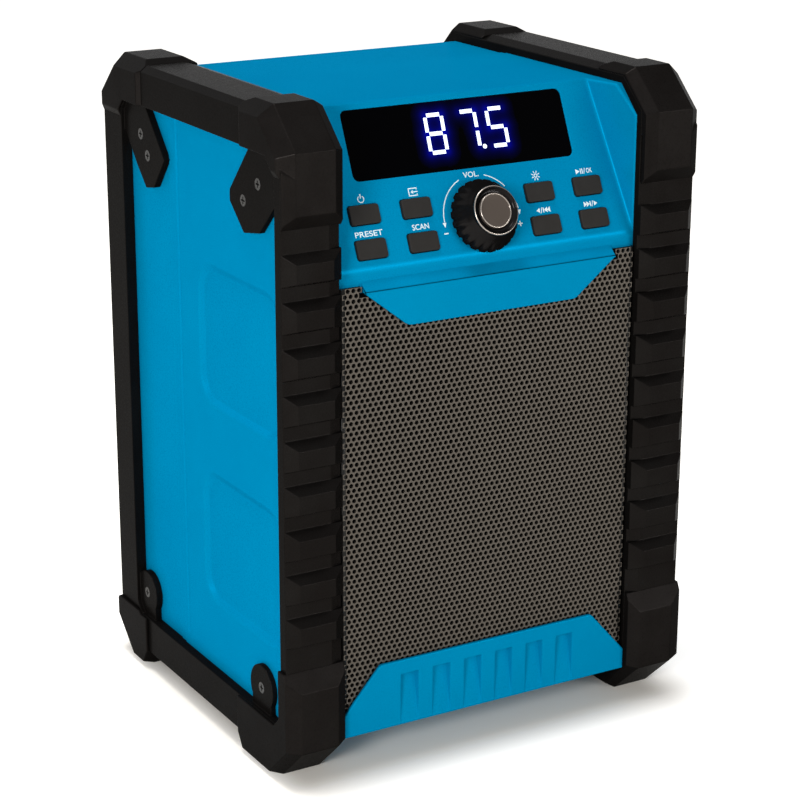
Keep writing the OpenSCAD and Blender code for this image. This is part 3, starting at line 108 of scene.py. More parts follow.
def empty_tree(
    name: str,
) -> tuple[bpy.types.Material, bpy.types.NodeTree, bpy.types.Node, bpy.types.NodeSocket]:
    """Starts a material with one surface shader and Object coordinates.

    Args:
        name: The material's name.

    Returns:
        The material, its tree, its shader and the coordinate socket.
    """
    material = bpy.data.materials.new(name)
    material.use_nodes = True
    tree = material.node_tree
    tree.nodes.clear()
    shader = add_node(tree, "ShaderNodeBsdfPrincipled")
    add_node(tree, "ShaderNodeOutputMaterial", {"Surface": shader.outputs["BSDF"]})
    place = add_node(tree, "ShaderNodeTexCoord")
    return material, tree, shader, place.outputs["Object"]


def two_tone(
    tree: bpy.types.NodeTree,
    shader: bpy.types.Node,
    colours: tuple[str, str],
    share: bpy.types.NodeSocket,
    height: bpy.types.NodeSocket,
    depth: float,
) -> None:
    """Gives a surface a colour that runs between two, and a relief.

    Args:
        tree: The shader's node tree.
        shader: The shader of the surface.
        colours: The two sRGB colours.
        share: Share of the second colour.
        height: Height of the relief.
        depth: Depth of the relief in millimetres.
    """
    colour = add_node(
        tree, "ShaderNodeMix", data_type="RGBA",
        inputs={0: share, 6: linear(colours[0]), 7: linear(colours[1])},
    )
    relief = add_node(
        tree, "ShaderNodeBump", {"Strength": 1.0, "Distance": depth * MM, "Height": height}
    )
    feed(tree, shader, {"Base Color": colour.outputs[2], "Normal": relief.outputs["Normal"]})


# ------------------------------------------------------------------ finishes
@dataclass(frozen=True)
class Finish:
    """A surface finish that makes its material once.

    Attributes:
        name: What the finish is called.
    """

    name: str

    def material(self) -> bpy.types.Material:
        """Returns the material, made at the first call."""
        return bpy.data.materials.get(self.name) or self.make()

    def make(self) -> bpy.types.Material:
        """Makes the material."""
        raise NotImplementedError


@dataclass(frozen=True)
class MouldedFinish(Finish):
    """Injection-moulded plastic or rubber with a tool-made grain.

    Attributes:
        base: Colour of the body of the material.
        shade: Colour where handling and flow marks change it.
        tint: Colour of the reflection seen straight on.
        roughness: Roughness of the smooth places.
        spread: How much the roughness varies.
        level: Strength of the reflection, where 0.5 is the one the IOR gives.
        ior: Index of refraction.
        grain: Size of the grain in millimetres.
        depth: Depth of the grain in millimetres.
        blotch: Size of the colour patches in millimetres.
        mix: How far the patches reach towards the shade.
        flake: Share of metallic flake in the pigment, whose sheen takes the body's hue.
    """

    base: str
    shade: str
    tint: str = "FFFFFF"
    roughness: float = 0.4
    spread: float = 0.08
    level: float = 0.5
    ior: float = 1.5
    grain: float = 0.5
    depth: float = 0.01
    blotch: float = 30.0
    mix: float = 0.35
    flake: float = 0.0

    def make(self) -> bpy.types.Material:
        """Makes the material."""
        material, tree, shader, place = empty_tree(self.name)
        patches = add_node(
            tree, "ShaderNodeTexNoise",
            {"Vector": place, "Scale": per_metre(self.blotch), "Detail": 4.0, "Roughness": 0.6},
        )
        reach = add_node(
            tree, "ShaderNodeMapRange",
            {"Value": patches.outputs["Fac"], "From Min": 0.38, "From Max": 0.72, "To Max": self.mix},
        )
        grain = add_node(
            tree, "ShaderNodeTexNoise",
            {"Vector": place, "Scale": per_metre(self.grain), "Detail": 2.0, "Roughness": 0.55},
        ).outputs["Fac"]
        low, high = self.roughness - self.spread / 2, self.roughness + self.spread / 2
        gloss = add_node(
            tree, "ShaderNodeMapRange",
            {"Value": grain, "From Min": 0.3, "From Max": 0.7, "To Min": low, "To Max": high},
        )
        two_tone(tree, shader, (self.base, self.shade), reach.outputs["Result"], grain, self.depth)
        feed(tree, shader, {
            "Roughness": gloss.outputs["Result"], "Metallic": self.flake, "IOR": self.ior,
            "Specular IOR Level": self.level, "Specular Tint": linear(self.tint),
        })
        return material


@dataclass(frozen=True)
class MetalFinish(Finish):
    """Bare, plated or coated metal with fine lines or grit.

    Attributes:
        base: Colour of the metal.
        shade: Colour of duller places.
        roughness: Roughness of the metal.
        spread: How much the roughness varies along the lines.
        metallic: How much of the surface shows as metal.
        line: Width of the lines in millimetres.
        stretch: How much longer than wide the lines are, along X, Y and Z.
        depth: Depth of the lines in millimetres.
    """

    base: str
    shade: str
    roughness: float = 0.3
    spread: float = 0.1
    metallic: float = 1.0
    line: float = 0.3
    stretch: tuple[float, float, float] = (1.0, 1.0, 1.0)
    depth: float = 0.004

    def make(self) -> bpy.types.Material:
        """Makes the material."""
        material, tree, shader, place = empty_tree(self.name)
        scale = tuple(1.0 / s for s in self.stretch)
        drawn = add_node(tree, "ShaderNodeMapping", {"Vector": place, "Scale": scale}).outputs["Vector"]
        lines = add_node(
            tree, "ShaderNodeTexNoise",
            {"Vector": drawn, "Scale": per_metre(self.line), "Detail": 3.0, "Roughness": 0.6},
        ).outputs["Fac"]
        low, high = self.roughness - self.spread / 2, self.roughness + self.spread / 2
        gloss = add_node(tree, "ShaderNodeMapRange", {"Value": lines, "To Min": low, "To Max": high})
        two_tone(tree, shader, (self.base, self.shade), lines, lines, self.depth)
        feed(tree, shader, {"Roughness": gloss.outputs["Result"], "Metallic": self.metallic})
        return material


@dataclass(frozen=True)
class WovenFinish(Finish):
    """Plain-woven acoustic cloth.

    Attributes:
        base: Colour of the threads.
        gap: Colour between the threads.
        pitch: Distance between the threads in millimetres, drawn coarser than real so that it shows.
        depth: Height of a thread in millimetres.
    """

    base: str
    gap: str
    pitch: float = 0.9
    depth: float = 0.15

    def make(self) -> bpy.types.Material:
        """Makes the material."""
        material, tree, shader, place = empty_tree(self.name)
        scale = per_metre(self.pitch) * math.tau / 20
        threads = [
            add_node(
                tree, "ShaderNodeTexWave", bands_direction=direction,
                inputs={"Vector": place, "Scale": scale, "Distortion": 0.4, "Detail": 1.0},
            ).outputs["Fac"]
            for direction in ("X", "Z")
        ]
        weave = add_node(
            tree, "ShaderNodeMath", dict(enumerate(threads)), operation="MULTIPLY"
        ).outputs["Value"]
        two_tone(tree, shader, (self.gap, self.base), weave, weave, self.depth)
        feed(tree, shader, {"Roughness": 0.95, "Specular IOR Level": 0.1})
        return material


@dataclass(frozen=True)
class BoardFinish(Finish):
    """Glass-fibre circuit board under green solder mask, with copper runs.

    Attributes:
        mask: Colour of the mask over bare board.
        run: Colour of the mask over copper.
        pitch: Distance between the copper runs in millimetres.
    """

    mask: str
    run: str
    pitch: float = 2.4

    def make(self) -> bpy.types.Material:
        """Makes the material."""
        material, tree, shader, place = empty_tree(self.name)
        cells = add_node(
            tree, "ShaderNodeTexVoronoi", feature="F1", distance="CHEBYCHEV",
            inputs={"Vector": place, "Scale": per_metre(self.pitch), "Randomness": 0.6},
        )
        runs = add_node(
            tree, "ShaderNodeMath", {0: cells.outputs["Distance"], 1: 0.42},
            operation="GREATER_THAN"
        ).outputs["Value"]
        two_tone(tree, shader, (self.mask, self.run), runs, runs, 0.03)
        feed(tree, shader, {"Roughness": 0.3})
        return material


@dataclass(frozen=True)
class GlowWindowFinish(Finish):
    """Polished smoked acrylic with light from the digits spread inside it.

    Attributes:
        body: Colour of the acrylic.
        light: Colour of the spread light.
        strength: Strength of the light where it is fullest.
        field_name: Vertex attribute that holds how much light reaches a place.
    """

    body: str
    light: str
    strength: float
    field_name: str = "spread_light"

    def make(self) -> bpy.types.Material:
        """Makes the material."""
        material, tree, shader, place = empty_tree(self.name)
        amount = add_node(tree, "ShaderNodeAttribute", attribute_name=self.field_name)
        power = add_node(
            tree, "ShaderNodeMath", {0: amount.outputs["Fac"], 1: self.strength},
            operation="MULTIPLY"
        )
        dust = add_node(
            tree, "ShaderNodeTexNoise", {"Vector": place, "Scale": per_metre(14.0), "Detail": 5.0}
        )
        gloss = add_node(
            tree, "ShaderNodeMapRange",
            {"Value": dust.outputs["Fac"], "To Min": 0.03, "To Max": 0.09}
        )
        feed(tree, shader, {
            "Base Color": linear(self.body), "Roughness": gloss.outputs["Result"],
            "Specular IOR Level": 0.01, "Emission Color": linear(self.light),
            "Emission Strength": power.outputs["Value"],
        })
        return material


@dataclass(frozen=True)
class LampFinish(Finish):
    """A lit display segment, whose brightness varies a little in small patches.

    Attributes:
        colour: Colour of the light.
        strength: Strength of the light.
    """

    colour: str
    strength: float

    def make(self) -> bpy.types.Material:
        """Makes the material."""
        material, tree, shader, place = empty_tree(self.name)
        chips = add_node(
            tree, "ShaderNodeTexNoise", {"Vector": place, "Scale": per_metre(2.5), "Detail": 1.0}
        )
        low, high = self.strength * 0.9, self.strength * 1.1
        power = add_node(
            tree, "ShaderNodeMapRange",
            {"Value": chips.outputs["Fac"], "To Min": low, "To Max": high}
        )
        feed(tree, shader, {
            "Base Color": linear(self.colour), "Roughness": 0.5,
            "Emission Color": linear(self.colour), "Emission Strength": power.outputs["Result"],
        })
        return material


# Satin ABS, moulded in an etched tool: a mica-filled blue whose soft sheen keeps the blue, also at
# a glance.
BLUE_ABS = MouldedFinish(
    "moulded blue ABS", base="0080AD", shade="0078A6", tint="0A9CC8", roughness=0.28, spread=0.04,
    level=0.0, ior=1.53, grain=0.5, depth=0.004, blotch=60.0, mix=0.5, flake=0.12,
)
# Polypropylene with a spark-eroded grain: faces differ in tone and edges catch the light, but a
# glancing view
# stays black, so the sheen comes from the carbon flake and not from the skin.
SPARKED_PP = MouldedFinish(
    "spark-grained black PP", base="161413", shade="1C1B1A", tint="3A3836", roughness=0.27,
    spread=0.08,
    level=0.012, ior=1.49, grain=0.7, depth=0.03, blotch=25.0, mix=0.6, flake=0.5,
)
# Thermoplastic rubber, moulded satin: as dark as the plastic, with a faint dusty bloom.
BUMPER_TPR = MouldedFinish(
    "moulded bumper rubber", base="181615", shade="1F1D1C", tint="3A3836", roughness=0.29,
    spread=0.08,
    level=0.012, ior=1.5, grain=0.9, depth=0.025, blotch=18.0, mix=0.6, flake=0.5,
)
# Silicone rubber keys: dark grey and matt, with a very fine grain.
KEY_SILICONE = MouldedFinish(
    "matt silicone keys", base="242322", shade="2A2928", tint="FFF6EE", roughness=0.55, spread=0.06,
    level=0.14, ior=1.43, grain=0.4, depth=0.01, blotch=6.0, mix=0.5,
)
# Grey silicone sheet of the keypad: matt, with a talc bloom from the press.
MAT_SILICONE = MouldedFinish(
    "pressed silicone sheet", base="6E6E6C", shade="7A7A78", roughness=0.7, level=0.3, grain=0.8,
    depth=0.02,
    blotch=10.0,
)
# ABS moulded in a polished tool: nearly black with sharp highlights.
KNOB_ABS = MouldedFinish(
    "polished black ABS", base="1C1B1B", shade="201F1F", tint="1C1B1B", roughness=0.2, spread=0.04,
    level=0.0, ior=1.53, grain=0.6, depth=0.002, blotch=20.0, flake=0.6,
)
# Satin cap pressed into the knob: warm grey-brown lacquer.
CAP_LACQUER = MouldedFinish(
    "warm grey cap lacquer", base="453E39", shade="4D4640", tint="FFEBDA", roughness=0.42,
    spread=0.08,
    level=0.2, ior=1.5, grain=0.4, depth=0.004, blotch=8.0,
)
# Pad-printed ink: flat and matt, a little thin in places.
PRINT_INK = MouldedFinish(
    "white pad-printed ink", base="E4F1F4", shade="C4DEE6", roughness=0.6, level=0.3, grain=0.4,
    depth=0.002,
    blotch=3.0, mix=0.4,
)
# Flame-retardant ABS of sockets and housings inside: dull black.
SOCKET_ABS = MouldedFinish(
    "dull socket ABS", base="121212", shade="191919", roughness=0.45, grain=0.5, depth=0.01,
    blotch=10.0,
)
# Powder-coated perforated steel: warm grey, fine orange-peel, part metallic sheen.
GRILLE_COAT = MetalFinish(
    "bronze-grey coated steel", base="534D47", shade="444039", roughness=0.42, spread=0.12,
    metallic=0.75,
    line=0.6, depth=0.01,
)
# Turned aluminium rim of the knob: satin, warm grey. Laid as a thin film along the black crown's crest,
# it is a painted highlight.
TURNED_RIM_AND_CROWN_HIGHLIGHT = MetalFinish("turned aluminium rim", base="A79E96", shade="8C847C", roughness=0.28, line=0.4)
# Zinc-plated steel: pale grey with a slightly cloudy plating.
ZINC_STEEL = MetalFinish("zinc-plated steel", base="A9AAAC", shade="8E9092", roughness=0.32, line=1.2)
# Black-oxide steel: near black, with an oiled gloss. The grille sheet's turned-back edges also take it,
# as painted shade.
OXIDE_STEEL = MetalFinish(
    "black-oxide steel", base="1A1918", shade="121211", roughness=0.38, metallic=0.8, line=0.5
)
# Drawn and chrome-plated brass tube: mirror bright with faint draw lines along it.
CHROME_TUBE = MetalFinish(
    "chromed drawn tube", base="D2D3D6", shade="BFC1C5", roughness=0.1, spread=0.06, line=0.2,
    stretch=(1.0, 1.0, 40.0), depth=0.001,
)
# Extruded aluminium: satin with lines along the extrusion.
EXTRUDED_ALUMINIUM = MetalFinish(
    "extruded aluminium", base="B4B6B9", shade="989A9D", roughness=0.35, line=0.25,
    stretch=(1.0, 1.0, 30.0),
)
# Printed steel sleeve of a dry cell: brassy gold lacquer.
CELL_SLEEVE = MetalFinish(
    "lacquered cell sleeve", base="B8862E", shade="9A6C20", roughness=0.28, line=3.0,
    stretch=(8.0, 1.0, 1.0),
)
# Sintered ferrite: dark grey, matt and slightly sparkling.
FERRITE = MetalFinish(
    "sintered ferrite", base="34343A", shade="26262A", roughness=0.55, metallic=0.35, line=0.4,
    depth=0.02
)
# Pressed paper pulp: charcoal fibres with a soft fuzz.
PAPER_PULP = MouldedFinish(
    "pressed paper pulp", base="2A2826", shade="3A3734", roughness=0.85, level=0.2, grain=0.9,
    depth=0.08,
    blotch=4.0, mix=0.8,
)
ACOUSTIC_CLOTH = WovenFinish("black acoustic cloth", base="0B0B0B", gap="030303")
GREEN_BOARD = BoardFinish("green circuit board", mask="0F4A24", run="1C6A36")
SMOKED_ACRYLIC = GlowWindowFinish("smoked acrylic window", body="010102", light="0A14FF", strength=1.0)
SEGMENT_LIGHT = LampFinish("blue-white segment light", colour="D8E4FF", strength=1.15)


# ------------------------------------------------------------------ shared layout and mesh tools
class Side(Enum):
    """The two sides of the radio, seen from the front."""

    LEFT = -1
    RIGHT = 1


@dataclass(frozen=True)
class Layout:
    """Planes that several sub-assemblies share.

    Attributes:
        wall_x: Outer plane of the blue side wall.
        front_y: Front plane of the housing.
        trim_y: Front plane of the apron and the lower trim.
        bend_z: Height of the bend under the sloped panel.
        top_z: Top plane of the housing.
        top_y: Depth of the bend over the sloped panel.
        back_y: Back plane of the housing.
    """

    wall_x: float = 101.5
    front_y: float = -84.0
    trim_y: float = -88.5
    bend_z: float = 232.4
    top_z: float = 298.0
    top_y: float = -54.0
    back_y: float = 80.0

    def panel(self) -> Matrix:
        """Gives the placement of the sloped panel's own frame, whose Z stands out of it."""
        run, rise = self.top_y - self.front_y, self.top_z - self.bend_z
        length = math.hypot(run, rise)
        up = Vector((0.0, run / length, rise / length))
        out = Vector((0.0, -rise / length, run / length))
        turn = Matrix(((1.0, up.x, out.x), (0.0, up.y, out.y), (0.0, up.z, out.z))).to_4x4()
        return METRES @ Matrix.Translation((0.0, self.front_y, self.bend_z)) @ turn


LAYOUT = Layout()
PANEL = LAYOUT.panel()
SetbackRule = Callable[[Vector, Vector, float], float]


def even(setback: float) -> SetbackRule:
    """Gives every edge the same setback."""
    return lambda at, along, angle: setback


def made_verts(made: Mapping[str, list]) -> list[bmesh.types.BMVert]:
    """Picks the vertices out of what an extrusion made."""
    return [part for part in made["geom"] if isinstance(part, bmesh.types.BMVert)]


def middle(edge: bmesh.types.BMEdge) -> Vector:
    """Gives the middle of an edge, in millimetres."""
    return (edge.verts[0].co + edge.verts[1].co) / (2 * MM)


def room_beside(face: bmesh.types.BMFace, edge: bmesh.types.BMEdge) -> float:
    """Measures how far a face reaches away from one of its edges.

    Args:
        face: The face.
        edge: An edge of it.

    Returns:
        The reach in millimetres.
    """
    start = edge.verts[0].co
    along = (edge.verts[1].co - start).normalized()
    return max(((v.co - start) - along * (v.co - start).dot(along)).length for v in face.verts) / MM


def weigh_edges(
    mesh: bmesh.types.BMesh, widest: float, wanted: SetbackRule, least_angle: float = 16.0
) -> None:
    """Gives each real edge a bevel weight, within the room beside it.

    Args:
        mesh: The mesh, in metres.
        widest: Width that a weight of 1 stands for, in millimetres.
        wanted: Gives an edge's wanted setback from its middle, its direction and its angle in degrees.
        least_angle: Angle in degrees under which an edge is part of a curve.
    """
    layer = mesh.edges.layers.float.new("bevel_weight_edge")
    for edge in mesh.edges:
        if len(edge.link_faces) != 2:
            continue
        angle = math.degrees(edge.calc_face_angle(0.0))
        if angle < least_angle:
            continue
        along = (edge.verts[1].co - edge.verts[0].co).normalized()
        setback = wanted(middle(edge), along, angle)
        room = 0.42 * min(room_beside(face, edge) for face in edge.link_faces)
        edge[layer] = min(setback, room, widest) / widest


def cad_copy(node: str) -> bmesh.types.BMesh:
    """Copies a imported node's mesh, merges its loose triangles and joins its flat ones."""
    mesh = bmesh.new()
    mesh.from_mesh(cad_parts[node].data)
    bmesh.ops.remove_doubles(mesh, verts=mesh.verts, dist=2e-6)
    bmesh.ops.dissolve_limit(
        mesh, angle_limit=math.radians(0.3), use_dissolve_boundaries=False,
        verts=mesh.verts, edges=mesh.edges,
    )
    return mesh


def place(
    name: str,
    mesh: bmesh.types.BMesh,
    finish: Finish,
    body: str,
    slot: str,
    stands_for: Iterable[str] = (),
    widest: float = 0.0,
    segments: int = 3,
    sharp: float = 38.0,
) -> bpy.types.Object:
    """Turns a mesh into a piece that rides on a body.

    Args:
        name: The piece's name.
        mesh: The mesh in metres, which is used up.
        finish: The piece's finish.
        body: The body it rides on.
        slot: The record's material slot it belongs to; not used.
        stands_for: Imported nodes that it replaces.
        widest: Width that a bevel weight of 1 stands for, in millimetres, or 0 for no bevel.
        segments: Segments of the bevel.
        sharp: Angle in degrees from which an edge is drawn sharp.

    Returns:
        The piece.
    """
    data = bpy.data.meshes.new(name)
    mesh.to_mesh(data)
    mesh.free()
    data.polygons.foreach_set("use_smooth", [True] * len(data.polygons))
    data.set_sharp_from_angle(angle=math.radians(sharp))
    data.materials.append(finish.material())
    piece = bpy.data.objects.new(name, data)
    bpy.context.scene.collection.objects.link(piece)
    if widest > 0:
        rounding = piece.modifiers.new("edge rounding", "BEVEL")
        rounding.limit_method = "WEIGHT"
        rounding.width = widest * MM
        rounding.segments = segments
        rounding.profile = 0.5
        rounding.use_clamp_overlap = False
        rounding.miter_outer = "MITER_SHARP"
        even = piece.modifiers.new("even normals", "WEIGHTED_NORMAL")
        even.keep_sharp = True
        even.weight = 60
    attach(piece, body)
    if stands_for:
        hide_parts(*stands_for)
    log.info("%s: %d faces on %s", name, len(data.polygons), body)
    return piece


def dress(nodes: Iterable[str], finish: Finish) -> None:
    """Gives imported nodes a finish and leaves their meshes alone."""
    for node in nodes:
        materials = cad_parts[node].data.materials
        if len(materials):
            for index in range(len(materials)):
                materials[index] = finish.material()
        else:
            materials.append(finish.material())


def soften(
    node: str, finish: Finish, slot: str, wanted: SetbackRule, widest: float, body: str = "chassis"
) -> bpy.types.Object:
    """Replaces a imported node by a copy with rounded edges.

    Args:
        node: The node.
        finish: The finish of the copy.
        slot: The record's material slot.
        wanted: Gives each edge's setback in millimetres.
        widest: The largest setback in millimetres.
        body: The body it rides on.

    Returns:
        The piece.
    """
    mesh = cad_copy(node)
    weigh_edges(mesh, widest, wanted)
    return place(f"{node}_finished", mesh, finish, body, slot, (node,), widest)


def lathe(outline: Iterable[tuple[float, float]], steps: int, placement: Matrix) -> bmesh.types.BMesh:
    """Spins an outline round the Z axis.

    Args:
        outline: Radius and height of each point, in millimetres.
        steps: Steps of the full turn.
        placement: Placement of the result.

    Returns:
        The mesh in metres.
    """
    mesh = bmesh.new()
    points = [mesh.verts.new((r, 0.0, h)) for r, h in outline]
    edges = [mesh.edges.new(pair) for pair in zip(points, points[1:])]
    bmesh.ops.spin(
        mesh, geom=[*points, *edges], cent=(0, 0, 0), axis=(0, 0, 1), angle=math.tau, steps=steps,
        use_merge=True, use_duplicate=False,
    )
    bmesh.ops.remove_doubles(mesh, verts=mesh.verts, dist=1e-4)
    bmesh.ops.recalc_face_normals(mesh, faces=mesh.faces)
    mesh.transform(placement)
    return mesh


# ------------------------------------------------------------------ housing
@dataclass
class Housing:
    """The blue two-part housing, the apron over the grille and the slotted lower trim.

    Attributes:
        brow: Setback of the soft bend under the sloped panel.
        crest: Setback of the bend over the sloped panel.
        ridge: Setback of the ridges beside the panel.
        ramp: Width of the ramp round the side recesses.
        recess_depth: Depth of the side recesses.
        recess_y: Middle of the side recesses along the depth.
        recesses: Middle height and height of each side recess.
        recess_length: Length of the side recesses.
        recess_corner: Corner radius of the side recesses.
        sink: How much deeper the ramps draw the recess floors.
        bead: Radius of the bead along the parting line.
        bead_y: Place of the bead along the depth.
        bead_z: Foot and top of the bead.
        lip: Radius of the apron's rounded lip.
        lip_length: Length of that lip.
        lip_z: Height of that lip.
        slot_pitch: Distance between the trim's slots.
        slot_half: Half width of a slot at its mouth.
        slot_draft: How far a slot's walls lean in towards its floor.
    """

    brow: float = 2.4
    crest: float = 2.6
    ridge: float = 1.1
    ramp: float = 3.2
    recess_depth: float = 1.2
    recess_y: float = -39.5
    recesses: tuple[tuple[float, float], ...] = ((190.4, 66.6), (92.4, 65.2))
    recess_length: float = 80.0
    recess_corner: float = 15.0
    sink: float = 0.6
    bead: float = 1.3
    bead_y: float = 19.8
    bead_z: tuple[float, float] = (34.0, 284.0)
    lip: float = 0.5
    lip_length: float = 129.4
    lip_z: float = 222.9
    slot_pitch: float = 16.9
    slot_half: float = 4.7
    slot_draft: float = 1.1

    def front_setback(self, at: Vector, along: Vector, angle: float) -> float:
        """Gives the setback of an edge of the front half."""
        level = abs(along.x) > 0.9
        if level and abs(at.y - LAYOUT.front_y) < 0.3 and abs(at.z - LAYOUT.bend_z) < 0.3:
            return self.brow
        if level and abs(at.y - LAYOUT.top_y) < 0.3 and abs(at.z - LAYOUT.top_z) < 0.3:
            return self.crest
        if 68 < abs(at.x) < 77.4 and at.z > LAYOUT.bend_z + 1 and at.y < LAYOUT.top_y + 1:
            return self.ridge
        if at.y < LAYOUT.trim_y + 2 and abs(along.y) > 0.9:
            return 2.0 if at.z < 215 else 1.0
        if at.y < LAYOUT.trim_y + 0.2:
            return 0.0 if at.z > 222 else 0.9
        if abs(at.x) > LAYOUT.wall_x - self.recess_depth - 0.1 and -81 < at.y < 2 and 55 < at.z < 226:
            return 0.9
        if abs(at.y + 60) < 28 and at.z > LAYOUT.bend_z and abs(at.x) < 68:
            return 0.25
        return 0.45

    def soften_recesses(self, mesh: bmesh.types.BMesh) -> None:
        """Draws the floors of the side recesses in, so that a ramp runs round them."""
        floor_x = LAYOUT.wall_x - self.recess_depth
        for vert in mesh.verts:
            at = vert.co / MM
            if abs(abs(at.x) - floor_x) > 0.05:
                continue
            for middle_z, height in self.recesses:
                half = Vector((self.recess_length / 2, height / 2))
                away = Vector((at.y - self.recess_y, at.z - middle_z))
                if abs(away.x) > half.x + 0.1 or abs(away.y) > half.y + 0.1:
                    continue
                core = Vector(
                    (
                        max(-half.x + self.recess_corner, min(half.x - self.recess_corner, away.x)),
                        max(-half.y + self.recess_corner, min(half.y - self.recess_corner, away.y)),
                    )
                )
                if (away - core).length < 0.1:
                    continue
                moved = core + (away - core).normalized() * (self.recess_corner - self.ramp)
                vert.co.x -= math.copysign(self.sink * MM, at.x)
                vert.co.y = (self.recess_y + moved.x) * MM
                vert.co.z = (middle_z + moved.y) * MM

    def build_front(self) -> None:
        """Builds the front half with its bends and recess ramps."""
        mesh = cad_copy("front_shell")
        self.soften_recesses(mesh)
        weigh_edges(mesh, self.crest, self.front_setback)
        place(
            "front_housing", mesh, BLUE_ABS, "chassis", "blue_plastic", ("front_shell",),
            self.crest, 4
        )

    def build_rear(self) -> None:
        """Builds the rear half."""

        def setback(at: Vector, along: Vector, angle: float) -> float:
            """Gives the setback of an edge of the rear half."""
            outer = at.y > LAYOUT.back_y - 8.5 and abs(along.x) + abs(along.z) > 0.9
            return 1.2 if outer else 0.3

        soften("rear_shell", BLUE_ABS, "blue_plastic", setback, 1.2)

    def build_trim(self) -> None:
        """Builds the lower trim, whose slots narrow towards their floors."""
        mesh = cad_copy("lower_trim")
        for vert in mesh.verts:
            at = vert.co / MM
            if LAYOUT.trim_y + 0.4 < at.y < LAYOUT.trim_y + 3.6 and at.z < 42.4 and abs(at.x) < 48:
                centre = (round(at.x / self.slot_pitch - 0.5) + 0.5) * self.slot_pitch
                if abs(abs(at.x - centre) - self.slot_half) < 0.1:
                    half = self.slot_half - self.slot_draft
                    vert.co.x = (centre + math.copysign(half, at.x - centre)) * MM

        def setback(at: Vector, along: Vector, angle: float) -> float:
            """Gives the setback of an edge of the trim."""
            if abs(along.y) > 0.9 and at.z > 45 and at.y < LAYOUT.trim_y + 2:
                return 1.6
            if at.y < LAYOUT.trim_y + 0.2 and at.z > 26 and (at.z > 43.5 or abs(at.x) > 50):
                return 1.0
            return 0.4

        weigh_edges(mesh, 1.6, setback)
        place("slotted_trim", mesh, BLUE_ABS, "chassis", "blue_plastic", ("lower_trim",), 1.6, 4)

    def build_beads(self) -> None:
        """Builds the bead down each wall, in front of the parting line, and the apron's rounded lip."""
        mesh = bmesh.new()
        low, high = self.bead_z
        for side in Side:
            rod = bmesh.ops.create_cone(
                mesh, cap_ends=True, segments=24, radius1=self.bead, radius2=self.bead,
                depth=high - low
            )["verts"]
            x = side.value * (LAYOUT.wall_x - 0.55 * self.bead)
            bmesh.ops.translate(mesh, verts=rod, vec=(x, self.bead_y, (low + high) / 2))
        lip = bmesh.ops.create_cone(
            mesh, cap_ends=True, segments=24, radius1=self.lip, radius2=self.lip,
            depth=self.lip_length
        )["verts"]
        across = Matrix.Rotation(math.radians(90), 3, "Y")
        bmesh.ops.rotate(mesh, verts=lip, cent=(0, 0, 0), matrix=across)
        bmesh.ops.translate(mesh, verts=lip, vec=(0, LAYOUT.trim_y + 0.4, self.lip_z))
        mesh.transform(METRES)
        place("parting_beads", mesh, BLUE_ABS, "chassis", "blue_plastic", sharp=40)

    def build(self) -> None:
        """Builds the housing."""
        self.build_beads()
        self.build_front()
        self.build_rear()
        self.build_trim()


